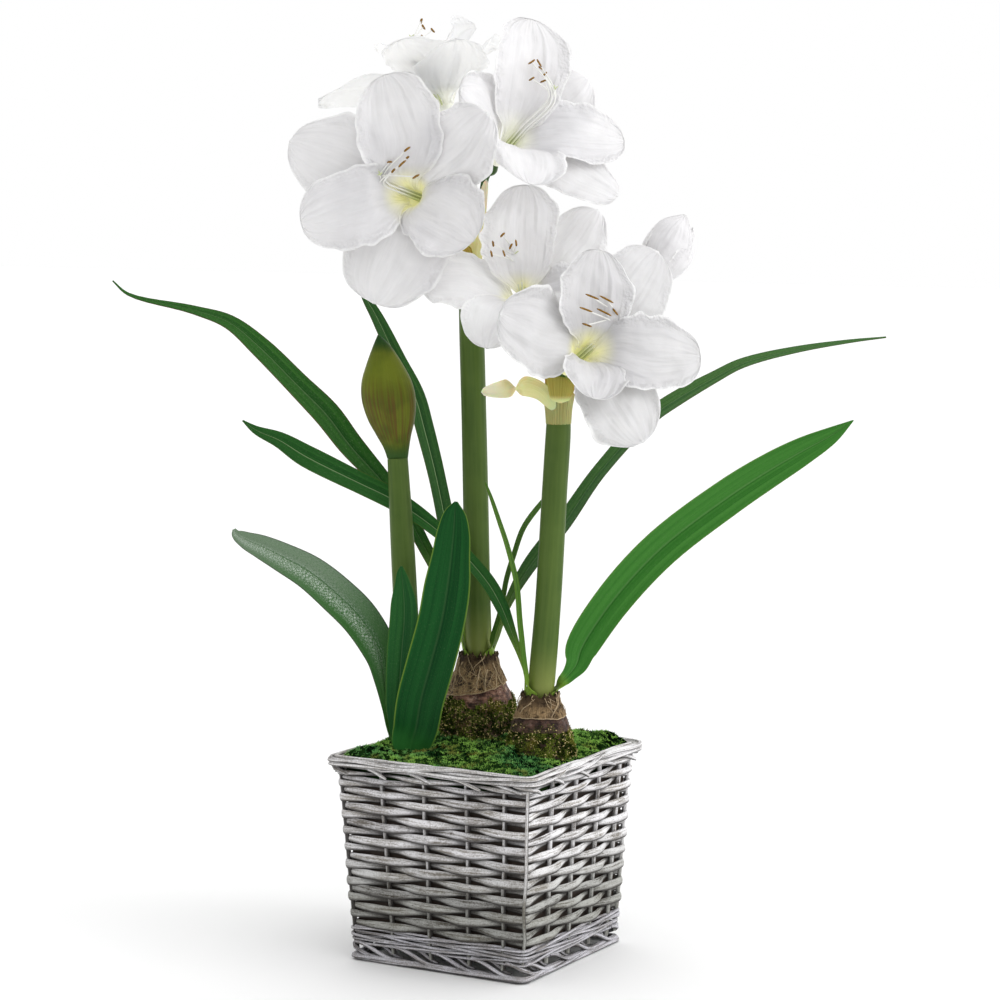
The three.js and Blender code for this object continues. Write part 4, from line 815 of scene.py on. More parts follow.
def leaf_surface(bulb, heading, clasp, tilt, ribs, along=90, across=15):
    """The blade's middle surface, as the model has it, with a rounder channel."""
    (x, y), neck = BULBS[bulb]["at"], BULBS[bulb]["neck"]
    angle, tilt = math.radians(heading), math.radians(tilt)
    cos, sin = math.cos(angle), math.sin(angle)
    foot = ((10.9, -15, 9), (11.2, -5, 9), (12.2, 4, 8))
    root = [(x + reach * cos, y + reach * sin, neck + up, width) for reach, up, width in foot]
    path = smooth_path(root + ribs, along)
    middle, width = path[:, :3], path[:, 3]
    tangent = unit(np.gradient(middle, axis=0))
    front = square_to(np.broadcast_to(FRONT, middle.shape), tangent)
    leans_left = ribs[-1][0] < ribs[0][0]
    upper = np.cross(tangent, front) * (1 if leans_left else -1)
    opened = front * math.cos(tilt) + upper * math.sin(tilt)
    at_root = square_to(np.broadcast_to([-cos, -sin, 0], middle.shape), tangent)
    at_root = at_root * np.where(np.sum(at_root * opened, axis=1) < 0, -1, 1)[:, None]
    opening = smoothstep(np.linspace(0, 1, along + 1), 0.1, 0.35)[:, None]
    normal = square_to(lerp(at_root, opened, opening), tangent)
    side = np.cross(normal, tangent)
    half = np.maximum(width, 0.7)[:, None] / 2
    u = np.linspace(-1, 1, across)
    ripple = 0.35 * np.abs(u) ** 3 * value_noise(middle, 24, heading % 17)[:, None]
    lift = 0.2 * half * (np.abs(u) ** 1.5 - 0.4) + ripple
    surface = middle[:, None] + side[:, None] * (u * half)[..., None] + normal[:, None] * lift[..., None]
    turned = 1 if side[0] @ [-sin, cos, 0] > 0 else -1
    height = middle[:, 2:]
    radius = np.hypot(middle[:, :1] - x, middle[:, 1:2] - y) + 0.35 * (heading % 3)
    wide = clasp * (1 - smoothstep(height, neck + 2, neck + 14))
    around = angle + turned * np.maximum(wide, half) * u / radius
    clasped = columns(x + radius * np.cos(around), y + radius * np.sin(around), height)
    return lerp(clasped, surface, smoothstep(height, neck + 4, neck + 15)[..., None])


def make_leaf(name, leaf, material):
    skin = Skin()
    surface = leaf_surface(*leaf)
    across = np.linspace(-1, 1, surface.shape[1])
    skin.sheet(surface, lerp(1.5, 0.5, across**2))
    skin.build(name.replace("leaf", "blade"), [material], "leaf", [name], sharp=60)


# ---------------------------------------------------------------- blooms
# An anther's row is its two ends. A tepal's is its tip, its width, its lean in degrees and how
# far its middle sags back. The first, the third and the fifth tepal are the inner ones.
BLOOMS = {
    "left": {
        "neck": (-38, 14, 608), "aim": (-0.27, -0.94, 0.19), "from": (-17, 32, 553), "seed": 11,
        "throat": (-14, 0, 0), "bend": (-82.5, -22.5, 626),
        "anthers": [
            (-64.5, -36, 648.5, -60, -38, 652), (-63, -33, 643, -61, -35, 644.5),
            (-69, -35, 636.5, -63.5, -37, 641.5), (-74.5, -32, 632, -72, -34, 635),
            (-78, -27.5, 640, -74.5, -30, 640.5), (-58, -33.5, 627.5, -53, -36, 630.5),
        ],
        "tepals": [
            (-80, -14, 708, 65, 92, 0), (0, -50, 679, 62, 92, 0), (-9, -64, 579, 66, 80, 0),
            (-90, -42, 530, 84, 98, 0), (-146, -20, 592, 62, 92, 0), (-158, 7, 657, 66, 96, 0),
        ],
    },
    "rear": {
        "neck": (-31, 60, 668), "aim": (-0.2, 0.35, 0.92), "from": (-17, 40.5, 553), "seed": 12,
        "throat": (0, 0, 0), "bend": (-59.5, 43.5, 731.5),
        "anthers": [
            (-53.5, 51.5, 751.5, -52.5, 47, 755), (-50.5, 59.5, 747, -52.5, 53.5, 750.5),
            (-43, 69.5, 745, -45.5, 64, 748), (-50.5, 68, 739.5, -53.5, 63, 742.5),
            (-63, 60.5, 735, -60, 70.5, 733.5), (-38.5, 77, 734, -41.5, 73.5, 736.5),
        ],
        "tepals": [
            (-8, 90, 748, 56, 66, 0), (5, 135, 736, 60, 84, 0), (-86, 125, 727, 56, 80, 0),
            (-136, 34, 692, 58, 100, 0), (-69, 9, 735, 54, 74, 0), (-25, 5, 739, 56, 70, 0),
        ],
    },
    "right": {
        "neck": (7, 36, 640), "aim": (0.42, -0.7, 0.58), "from": (-9, 36, 553), "seed": 13,
        "throat": (0, 0, 0), "bend": (52, 5, 691.5),
        "anthers": [
            (33.4, 7, 717.6, 38.4, 11, 721.1), (39.9, 14.5, 721.6, 43.3, 10, 715.7),
            (41.4, 13, 715.7, 44.8, 11, 713.2), (44.8, 9, 708.2, 47.8, 11.5, 711.2),
            (42.8, 7, 703.2, 48.8, 10, 705.7), (33.9, 5.5, 704.7, 37.9, 7.5, 707.2),
        ],
        "tepals": [
            (35, 36, 753, 60, 84, 0), (82, 46, 708, 60, 90, 9), (110, 34, 656, 56, 82, 0),
            (105, -2, 614, 56, 94, 5), (34, -43, 622, 60, 96, 0), (-20, -26, 697, 62, 92, 0),
        ],
    },
    "centre": {
        "neck": (34, -15, 521), "aim": (-0.2, -0.72, 0.66), "from": (53, -25, 453), "seed": 14,
        "throat": (0, 0, -6), "bend": (24, -30, 562),
        "anthers": [
            (11, -38.5, 582, 14, -39, 585), (5.5, -41, 574.5, 5, -39, 578.5),
            (4.5, -45.5, 566.5, 3.5, -43, 571), (14.5, -50.5, 567, 13, -48, 571.5),
            (23.5, -48.5, 575, 23, -46.5, 579.5), (18, -38, 572.5, 20, -37.5, 576.5),
        ],
        "tepals": [
            (30, -21, 622, 60, 62, 0), (87, -20, 604, 58, 84, 8), (90, -48, 536, 44, 96, 0),
            (33, -84, 524, 50, 70, 0), (1, -97, 497, 52, 100, 0), (-52, -42, 547, 56, 104, 0),
        ],
    },
    "low": {
        "neck": (62, -50, 478), "aim": (0.38, -0.87, 0.31), "from": (58.5, -31, 453), "seed": 15,
        "throat": (5, 0, 7), "bend": (101.5, -72, 516),
        "anthers": [
            (76.5, -93, 539.5, 86.5, -92, 535.5), (87.5, -86.5, 538, 98, -85.5, 532.5),
            (97.5, -81, 528, 101.5, -82.5, 523), (72, -96, 529.5, 81.5, -95, 526),
            (85.5, -86, 528, 96.5, -85, 522.5), (74, -93, 517, 81, -92.5, 514.5),
        ],
        "tepals": [
            (86, -73, 573, 58, 80, 0), (136, -33, 571, 64, 96, 0), (166, -67, 489, 58, 88, 0),
            (122, -101, 426, 64, 100, 0), (82, -119, 459, 50, 80, 0), (11, -119, 526, 64, 94, 0),
        ],
    },
}
CLAW_ALONG, CLAW_OUT, CLAW_LEAN = 17, 6.9, math.radians(13)
NECK_RADIUS = 4.4


def bloom_frame(bloom):
    """Where a bloom's tube starts, and the way it points."""
    return vector(*bloom["neck"]), unit(vector(*bloom["aim"]))


def spokes(bloom, angle):
    """The ways out from a bloom's axis at angles about it, from its level right-hand side."""
    _, axis = bloom_frame(bloom)
    right = unit(np.cross(UP, axis))
    return right * np.cos(angle)[..., None] + np.cross(axis, right) * np.sin(angle)[..., None]


def bowed(bloom, points):
    """Points carried along with the bend of the bloom's tube, which leaves the tips in place."""
    neck, axis = bloom_frame(bloom)
    away = points - neck
    along = away @ axis
    off = np.linalg.norm(away - along[..., None] * axis, axis=-1)
    share = smoothstep(along, 0, 22) * (1 - smoothstep(off, 14, 48))
    return points + share[..., None] * bloom["throat"]


def tepal_surface(bloom, index, along=54, across=29):
    """A tepal as the model has it, with a crimped and uneven edge and soft creases along it."""
    *tip, width, lean, back = bloom["tepals"][index]
    inner, lean = index % 2 == 0, math.radians(lean)
    neck, axis = bloom_frame(bloom)
    to_tip = tip - neck
    tip_along = to_tip @ axis
    outward = to_tip - axis * tip_along
    tip_out = np.linalg.norm(outward)
    outward = outward / tip_out
    span = math.hypot(tip_out - CLAW_OUT, tip_along - CLAW_ALONG)
    rise, fall = (0.48 if inner else 0.34) * span, 0.42 * span
    handles = [
        (CLAW_OUT, CLAW_ALONG),
        (CLAW_OUT + rise * math.sin(CLAW_LEAN), CLAW_ALONG + rise * math.cos(CLAW_LEAN)),
        (tip_out - fall * math.sin(lean), tip_along - fall * math.cos(lean)),
        (tip_out, tip_along),
    ]
    t = 1 - (1 - np.linspace(0, 1, along + 1)[:, None]) ** 1.2
    weights = [(1 - t) ** 3, 3 * t * (1 - t) ** 2, 3 * t**2 * (1 - t), t**3]
    midrib = np.hstack(weights) @ handles
    slope = unit(np.gradient(midrib, axis=0))
    out, rise_along = midrib[:, :1], midrib[:, 1:]
    phase = bloom["seed"] + 2.1 * index
    widest = 0.62 + 0.05 * math.sin(3.3 * phase)
    shape = (t / widest) ** 0.68 * ((1 - t) / (1 - widest)) ** 0.44
    half = 1.06 * width / 2 * np.clip(shape, 0.012, 1)
    half = np.minimum(half, out * lerp(0.68, 1.5, smoothstep(t, 0.04, 0.3)))
    u = np.linspace(-1, 1, across)[None]
    margin = columns(70 * t, 30 * np.sign(u), 9 * phase)
    uneven = 0.12 * value_noise(margin, 16, 73) + 0.09 * value_noise(margin, 5, 74)
    u = u * (1 + uneven * u**2 * smoothstep(t, 0.1, 0.4))
    wrap = np.minimum(1 / out, 0.85 / half)
    wrap = wrap * lerp(1, 0.4 if inner else 0.2, smoothstep(t, 0.06, 0.38))
    angle = wrap * half * u
    layer = (1.6 if inner else -1.6) * smoothstep(t, 0.02, 0.14)
    edge = np.abs(u) ** 3
    wave = 4.0 * smoothstep(t, 0.5, 0.85) * edge * np.sin(9 * t + phase + np.where(u > 0, 1.7, 0))
    place = columns(40 * u, 70 * t, 9 * phase)
    crimp = 2.6 * smoothstep(t, 0.3, 0.7) * edge * value_noise(place, 6.5, seed=71)
    swell = 2.4 * smoothstep(t, 0.25, 0.6) * value_noise(place, 24, seed=72)
    swell = swell + 1.1 * smoothstep(t, 0.2, 0.5) * value_noise(place * [1, 0.3, 1], 7, seed=75)
    drape = (1.0 if inner else -3.0) * smoothstep(t, 0.12, 0.45) * u**2
    drape = drape - back * smoothstep(t, 0.1, 0.4) * (1 - smoothstep(t, 0.7, 1))
    keel = -1.2 * smoothstep(t, 0.15, 0.4) * bump(u, 0, 0.16)
    pleats = 0.07 * np.cos(17 * u * (1 + 0.2 * t)) * smoothstep(t, 0.1, 0.3)
    waves = (wave + crimp + swell + keel + pleats) * (1 - smoothstep(t, 0.82, 1.0))
    inward = (1 - np.cos(angle)) / wrap + layer + drape + waves
    surface = neck + axis * (rise_along + inward * slope[:, :1])[..., None]
    surface = surface + outward * (out - inward * slope[:, 1:])[..., None]
    sideways = np.cross(axis, outward)
    return bowed(bloom, surface + sideways * (np.sin(angle) / wrap)[..., None])


def add_grain(skin, middle, way, half_length, radius, number, paint):
    """A small rounded rod, a little bowed, such as an anther."""
    t = np.linspace(-1, 1, 13)
    side = unit(np.cross(way, vector(0.3, 0.2, 0.93)))
    path = middle + way * (half_length * t)[:, None] + side * (-0.5 * t**2)[:, None]
    thick = radius * np.sqrt(np.maximum(1 - t**2, 0.02)) * (1 - 0.18 * bump(t, 0, 0.3))
    skin.rod(path, thick, 0.8 * thick, side, number=number, paint=paint)


def add_thread(skin, bloom, spoke, end, number):
    """A thread from the throat, past the bend it shares with the others, to its end. What
    comes back is the way it points there."""
    neck, axis = bloom_frame(bloom)
    bend = vector(*bloom["bend"])
    root = bowed(bloom, neck + 11.5 * axis + 2.8 * spoke)
    early = lerp(root, bend, 0.4) + 5 * unit(root - neck)
    path = smooth_path([root, early, bend + 3.2 * spoke, end], 30)
    radius = np.linspace(0.85, 0.5, 31)
    skin.rod(path, radius, radius, spokes(bloom, 0), number=number, paint=1)
    return unit(path[-1] - path[-3])


def add_threads(skin, bloom):
    """Stamens that leave the throat together, bend back and carry anthers, and a style."""
    roots = spokes(bloom, math.pi / 3 - round_angles(6))
    for k, (anther, spoke) in enumerate(zip(bloom["anthers"], roots)):
        start, end = np.reshape(anther, (2, 3))
        middle = (start + end) / 2
        add_thread(skin, bloom, spoke, middle, 20 + k)
        half_length = 0.5 * np.linalg.norm(end - start) + 0.4
        add_grain(skin, middle, unit(end - start), half_length, 1.15, 40 + k, 2)
    _, axis = bloom_frame(bloom)
    end = bloom["bend"] + 5 * axis + 3.5 * UP
    tangent = add_thread(skin, bloom, 0 * axis, end, 26)
    for lobe, spoke in enumerate(spokes(bloom, round_angles(3))):
        way = unit(tangent + 0.9 * spoke)
        add_grain(skin, end + 1.2 * way, way, 2.2, 0.6, 30 + lobe, 1)


def make_bloom(name, bloom, materials):
    skin = Skin()
    for index in range(6):
        surface = tepal_surface(bloom, index)
        u = np.linspace(-1, 1, surface.shape[1])
        v = np.linspace(0, 1, surface.shape[0])[:, None]
        skin.sheet(surface, 0.55 - 0.25 * u**2 + 0.5 * (1 - smoothstep(v, 0, 0.2)), number=index)
    tube = [
        (1.5, -0.3), (NECK_RADIUS, 0.2), (NECK_RADIUS + 0.3, 3), (NECK_RADIUS + 0.9, 8),
        (CLAW_OUT - 0.2, 13), (CLAW_OUT + 0.8, CLAW_ALONG + 1), (CLAW_OUT - 0.4, CLAW_ALONG + 1),
        (CLAW_OUT - 1.4, 14.5), (NECK_RADIUS - 0.3, 12.2), (1.2, 11.5),
    ]
    radius, along = np.array(tube).T[..., None]
    neck, axis = bloom_frame(bloom)
    rings = neck + axis * along[..., None] + spokes(bloom, round_angles(36)) * radius[..., None]
    skin.loft(bowed(bloom, rings), 6.5, 0.1 * along / 20)
    add_threads(skin, bloom)
    skin.build(f"flower_{name}", materials, "petal", [f"bloom_{name}"], sharp=60)


# ---------------------------------------------------------------- buds
WHITE_BUD = {
    "neck": (125, -10, 537), "aim": (0.5, 0.12, 0.86), "from": (60.5, -24, 453),
    "length": 69, "radius": 20,
}


def bud_tepal(turn, top, flare, spread):
    """A tepal wrapped round the bud, its tip a little away from it."""
    neck, axis = bloom_frame(WHITE_BUD)
    t = np.linspace(0, 1, 41)[:, None]
    u = np.linspace(-1, 1, 21)
    outline = [(0, 0.24, 0), (0.12, 0.36, 0), (0.3, 0.7, 0), (0.55, 1.0, 0), (0.78, 0.9, 0), (1, 0.36, 0)]
    along, reach, _ = smooth_path(outline, 40).T
    radius = WHITE_BUD["radius"] * np.interp(t, along, reach) + flare * t**3
    shape = np.clip((t / 0.6) ** 0.5 * ((1 - t) / 0.4) ** 0.55, 0.1, 1)
    place = columns(20 * u, 60 * t, 7 * turn)
    edge = smoothstep(t, 0.4, 0.8) * np.abs(u) ** 3
    radius = radius + 0.7 * edge * value_noise(place, 8, seed=76) + 0.5 * value_noise(place, 12, 77)
    spoke = spokes(WHITE_BUD, turn + spread * shape * u)
    return neck + axis * (top * t)[..., None] + spoke * radius[..., None]


def make_white_bud(materials):
    """Tepals still rolled round each other, the outer ones just beginning to part."""
    skin = Skin()
    neck, axis = bloom_frame(WHITE_BUD)
    length = WHITE_BUD["length"]
    outline = [
        (0, 0.2, 0), (0.07, 0.28, 0), (0.18, 0.46, 0), (0.42, 0.86, 0), (0.64, 0.92, 0),
        (0.84, 0.78, 0), (0.96, 0.48, 0), (1, 0.1, 0),
    ]
    t, share, _ = smooth_path(outline, 50).T[..., None]
    angle = round_angles(60)
    folds = 1 + 0.05 * np.sin(3 * angle - 3 * t) * smoothstep(t, 0.1, 0.4)
    reach = WHITE_BUD["radius"] * share * folds
    rings = neck + axis * (t * 0.9 * length)[..., None] + spokes(WHITE_BUD, angle) * reach[..., None]
    skin.loft(rings, angle / (2 * math.pi), 0.25 + 0.7 * t)
    tepals = ((2.6, 1.0, 0.3, 1.35), (0.5, 0.92, 0.9, 1.35), (4.5, 0.93, 0.6, 1.35))
    for k, (turn, top, flare, spread) in enumerate(tepals):
        skin.sheet(bud_tepal(turn, top * length, flare, spread), 0.5, number=k + 1)
    skin.build("white_bud_rolled", materials, "petal", ["white_bud"], sharp=60)


def make_closed_spathe(material):
    """Two bracts closed over the buds, one lapping the other down a raised seam."""
    skin = Skin()
    sections = [
        (-72, 12, 402.3, 8.3), (-73, 12, 411, 10.4), (-75, 12, 421, 14), (-77, 12, 434, 19),
        (-79, 12, 450, 21.8), (-80.5, 12, 464, 20.4), (-82, 12, 477, 15.4),
        (-83.5, 12, 488, 10), (-85, 12, 496, 5.4), (-87, 12, 502, 0.8),
    ]
    path = smooth_path(sections, 80)
    middle, radius = path[:, None, :3], path[:, 3:]
    angle = round_angles(96)
    seams = bump(angle, 1.45 * math.pi, 0.11) + bump(angle, 0.4, 0.11)
    reach = radius * (1 + 0.045 * seams * smoothstep(radius, 8, 14))
    rings = middle + columns(np.cos(angle), 0.82 * np.sin(angle), 0) * reach[..., None]
    skin.loft(rings, angle / (2 * math.pi), np.linspace(0, 1, len(path))[:, None])
    skin.build("spathe_bud", [material], "closed_bud", ["spathe_closed"])


# ---------------------------------------------------------------- opened spathes
SPATHES = {
    "back": {
        "at": (-13, 36, 0), "sheath": [(9.8, 534, 0), (10.8, 546, 0), (13, 558, 0)],
        "bracts": [
            {
                "route": [(-9, 26, 549), (-8.7, 24, 574), (-5, 24, 600), (-0.5, 25, 626)],
                "facing": ((0.3, -0.9, 0.1), (-0.5, -0.8, 0)), "width": 11,
            },
            {
                "route": [(-16, 25, 552), (-18, 18, 567), (-25, 10, 569), (-37, 4, 563), (-50, -2, 553)],
                "facing": ((-0.5, -0.8, 0.1), (0.1, -0.6, 0.8)), "width": 15, "paint": 1,
            },
        ],
    },
    "front": {
        "at": (57, -28, 0), "sheath": [(9.9, 434, 0), (10.8, 446, 0), (12.8, 458, 0)],
        "bracts": [
            {
                "route": [
                    (54, -37.6, 447), (42, -42, 461), (27, -46, 465.5), (11, -48, 462.5), (-4, -49, 461),
                ],
                "facing": ((-0.3, -0.9, 0.2), (0.1, -0.9, -0.3)), "width": 16,
                "root": 0.03, "twist": 1.0,
            },
            {
                "route": [
                    (57, -31, 450), (58, -33, 464), (58.5, -38, 474.5), (58.5, -46, 471), (58, -48, 452),
                ],
                "facing": ((0, -1, 0.1), (0, -0.4, -0.9)), "width": 25,
                "root": 0.02, "blunt": 0.24, "paint": 1,
            },
        ],
    },
}


def add_bract(skin, number, route, facing, width, root=0.22, twist=0, blunt=0.42, paint=0):
    """A papery bract along its route, which faces from one way to another."""
    v = np.linspace(0, 1, 37)[:, None]
    u = np.linspace(-1, 1, 13)
    path = smooth_path(route, 36)
    tangent = unit(np.gradient(path, axis=0))
    side = unit(np.cross(tangent, lerp(*(unit(vector(*way)) for way in facing), v)))
    turn = math.pi * twist * smoothstep(v, 0.42, 0.74)
    side = side * np.cos(turn) + np.cross(side, tangent) * np.sin(turn)
    normal = np.cross(side, tangent)
    half = width / 2 * np.maximum(np.sin(math.pi * lerp(root, 1, v)) ** blunt, 0.04)
    crumple = 1.2 * value_noise(columns(9 * u, 30 * v, 0), 6, 81 + number)
    lift = 0.25 * half * (1 - u * u) + crumple * np.abs(u)
    surface = path[:, None] + side[:, None] * (u * half)[..., None] + normal[:, None] * lift[..., None]
    skin.sheet(surface, 0.45 + 1.4 * np.sin(turn) ** 2 * (1 - u * u), number, paint)


def make_spathe(name, spathe, materials):
    """A ribbed sheath round the stem's top, and two papery bracts that bend away from it."""
    skin = Skin()
    angle = round_angles(72)
    radius, height, _ = smooth_path(spathe["sheath"], 14).T[..., None]
    spoke = columns(np.cos(angle), np.sin(angle), 0)
    climb = smoothstep(np.linspace(0, 1, 15), 0.4, 1)[:, None]
    level = height + 2.2 * value_noise(30 * spoke, 11, seed=81) * climb
    walls = []
    for inset in (0.0, 0.7):
        reach = radius - inset + 0.22 * np.cos(18 * angle)
        walls.append(spathe["at"] + spoke * reach[..., None] + UP * level[..., None])
    rings = np.concatenate([walls[0], walls[1][::-1]])
    v = np.concatenate([np.linspace(0, 0.3, 15), np.linspace(0.3, 0, 15)])[:, None]
    skin.loft(rings, angle / (2 * math.pi), v, 2, closed=True)
    for k, bract in enumerate(spathe["bracts"]):
        add_bract(skin, k + 1, **bract)
    skin.build(f"bracts_{name}", materials, "bract", [f"spathe_{name}"], sharp=60)


# ---------------------------------------------------------------- finishes
def on_basket(paint):
    """How far out a point is from the middle of the basket's sloping wall, its height, and how
    far into the right-hand side it is, all in metres."""
    *level, height = paint.node("SeparateXYZ", Vector=paint.object_place()).outputs
    x, y = (paint.math("SUBTRACT", part, BASKET_CENTRE[k]) for k, part in enumerate(level))
    away = [paint.math("ABSOLUTE", part) for part in (x, y)]
    slope = (BASKET_TOP_HALF - BASKET_FOOT_HALF) / BASKET_HEIGHT
    half = paint.plus(paint.times(height, slope), BASKET_FOOT_HALF * MM)
    proud = paint.math("SUBTRACT", paint.math("MAXIMUM", *away), half)
    return proud, height, paint.math("SUBTRACT", x, away[1])


def grey_willow(name, wood, wash, lower):
    """Peeled willow with a thin grey wash, worn in streaks along each rod, with painted light that
    makes the right side whiter, and painted shade under the rods and in the hollows. Each of wood
    and wash is a pair of colours, and lower what the foot of it is multiplied by."""
    paint = Paint(name, 0.8)
    lines, fine = paint.lines(11, 0.3, 4), paint.lines(34, 2.2)
    grain, patches = paint.spots(900, 3, 0.7), paint.spots(34)
    tone = paint.per_piece()
    washed = paint.plus(paint.span(lines, 0.3, 0.6), paint.span(patches, 0.3, 0.75, -0.35, 0.3))
    washed = paint.plus(washed, paint.span(grain, 0.35, 0.65, -0.35, 0.15))
    washed = paint.math("MINIMUM", washed, 1.0)
    washed.node.use_clamp = True
    paint.colour = paint.mix(washed, paint.mix(tone, *wood), paint.mix(tone, *wash))
    proud, height, right = on_basket(paint)
    # painted light: the right-hand side is painted whiter, as the light falls from the right
    paint.cover((0.93, 0.92, 0.93), paint.times(washed, paint.span(right, -0.004, 0.004, 0, 0.75)))
    paint.over((0.88, 0.87, 0.88), fine, 0.52, 0.72, 0.65)
    paint.over((0.045, 0.038, 0.032), fine, 0.44, 0.28, 0.75)
    paint.over(paint.mix(1.0, paint.colour, lower, "MULTIPLY"), height, 0.110, 0.045)
    # painted shade: the underside of each rod is darkened
    paint.over((0.022, 0.018, 0.015), paint.across(), 0.56, 0.70, 0.92)
    # painted shade: the deeper a place lies in the wall, the darker it is painted
    paint.over((0.016, 0.011, 0.008), proud, -0.0012, -0.0040, 0.92)
    rough = paint.plus(paint.times(fine, 0.6), paint.times(grain, 0.5))
    return paint.done(paint.plus(lines, rough), 0.0008, 0.8)


def spotted(name, roughness, scale, detail, limits, dark, light, distance, strength):
    """Plain spots of two colours, in relief."""
    paint = Paint(name, roughness)
    spots = paint.spots(scale, detail)
    paint.colour = paint.mix(paint.span(spots, *limits) if limits else spots, dark, light)
    return paint.done(spots, distance, strength)


def leafy_moss(name, dark, light, cool_tint):
    """Green cushions. The place's first part is a point's tone, and its second goes to its tip. Each
    point fades to near black at its foot: painted shade in the gaps between the points.
    """
    paint = Paint(name, 1.0, Specular_IOR_Level=0.0)
    tone, along = paint.place()
    tone = paint.plus(tone, paint.span(paint.spots(42), 0.35, 0.65, -0.18, 0.18))
    # painted shade: the near-black colour at the foot of each point
    deep = paint.mix(paint.span(tone, 0.1, 0.7), (0.001, 0.003, 0.001), (0.014, 0.045, 0.008))
    paint.start(tone, 0.15, 0.85, dark, light)
    cool = paint.times(paint.span(paint.spots(27, 2), 0.42, 0.60, 0, 0.6), paint.span(tone, 0.0, 0.5))
    paint.cover(cool_tint, cool)
    paint.over((0.34, 0.30, 0.06), paint.spots(55), 0.54, 0.66, 0.6)
    paint.start(along, 0.05, 0.7, deep, paint.colour)
    paint.over((0.72, 0.58, 0.28), tone, 1.25, 1.35)
    return paint.done()


def shaded(colour, bright):
    return tuple(min(bright * part, 0.9) for part in colour)


def papery_tunic(name, bright):
    """Brown and purple papery layers. The place is the share round and the height from the
    neck, in decimetres. Bright multiplies the colours, set for each bulb as painted light and shade."""
    paint = Paint(name, 0.55, Specular_IOR_Level=0.3)
    streaks, fine, wrinkles = paint.lines(14, 12, 4, 0.65), paint.lines(70, 24), paint.lines(12, 60)
    patches, flakes = paint.spots(70, 4, 0.6), paint.spots(210, 4, 0.65)
    brown, pale_brown = shaded((0.018, 0.012, 0.006), bright), shaded((0.075, 0.045, 0.022), bright)
    plum, pale_plum = shaded((0.026, 0.011, 0.008), bright), shaded((0.190, 0.100, 0.070), bright)
    low = paint.mix(paint.span(patches, 0.35, 0.65), brown, pale_brown)
    high = paint.mix(paint.span(streaks, 0.36, 0.66), plum, pale_plum)
    paint.start(paint.along(), -0.5, -0.3, low, high)
    paint.over(shaded((0.30, 0.19, 0.12), bright), fine, 0.56, 0.8, 0.6)
    paint.over((0.012, 0.006, 0.004), fine, 0.42, 0.25, 0.6)
    # painted shade in the wrinkles
    paint.over((0.016, 0.008, 0.006), wrinkles, 0.44, 0.3, 0.6)
    paint.over(shaded((0.27, 0.18, 0.14), bright), flakes, 0.52, 0.68, 0.6)
    paint.over((0.014, 0.008, 0.006), flakes, 0.47, 0.34, 0.8)
    height = paint.plus(streaks, paint.times(fine, 0.5))
    return paint.done(paint.plus(height, paint.times(wrinkles, 1.5)), 0.0035, 1.0)


def netted_tunic(name, bright, net):
    """The driest layer: where its skin has gone, it left a net of fibres over the brown. The
    net is how far that has come."""
    paint = Paint(name, 0.8, Specular_IOR_Level=0.2)
    shifted = paint.node("VectorMath")
    paint.set(shifted.inputs[0], paint.stretched(36, 26))
    paint.set(shifted.inputs[1], paint.times(paint.lines(9, 5, 2, 0.55), 5.0))
    cells = paint.node("TexVoronoi", Vector=shifted.outputs[0], Scale=1)
    cells.feature = "DISTANCE_TO_EDGE"
    fibre = paint.span(cells.outputs["Distance"], 0.08, 0.02)
    fine, patches, holes = paint.lines(110, 14), paint.spots(110, 4, 0.6), paint.lines(16, 24)
    dark, light = shaded((0.020, 0.011, 0.006), bright), shaded((0.19, 0.125, 0.062), bright)
    paint.start(patches, lerp(0.3, 0.5, net), lerp(0.5, 0.66, net), dark, light)
    paint.over(shaded((0.34, 0.235, 0.125), bright), fine, 0.46, 0.7, 0.5)
    paint.over((0.016, 0.009, 0.005), fine, 0.42, 0.28, 0.6)
    paint.over((0.030, 0.016, 0.008), holes, 0.47, 0.36, 0.85)
    paint.cover(shaded((0.44, 0.31, 0.16), bright), paint.times(fibre, net))
    paint.over((0.030, 0.015, 0.008), paint.along(), -0.10, 0.0, 0.75)
    return paint.done(paint.plus(fibre, paint.times(fine, 2.0)), 0.0018, 0.9)


def dry_fringe():
    paint = Paint("dry_fringe", 0.8)
    lines = paint.lines(9, 1.2, 4)
    paint.start(lines, 0.3, 0.7, (0.20, 0.125, 0.065), (0.74, 0.57, 0.35))
    return paint.done(lines, 0.0006, 0.8)


def green_stem(name, base, light, foot):
    """A smooth hollow stem with a thin bloom of wax and fine lines up it."""
    paint = Paint(name, 0.45, Specular_IOR_Level=0.22)
    lines = paint.lines(24, 0.12, 3, 0.5)
    paint.start(lines, 0.1, 0.9, base, light)
    paint.over(light, paint.spots(38), 0.35, 0.7, 0.5)
    paint.over(foot, paint.along(), 6.5, 1.5)
    return paint.done(lines, 0.0003, 0.5)


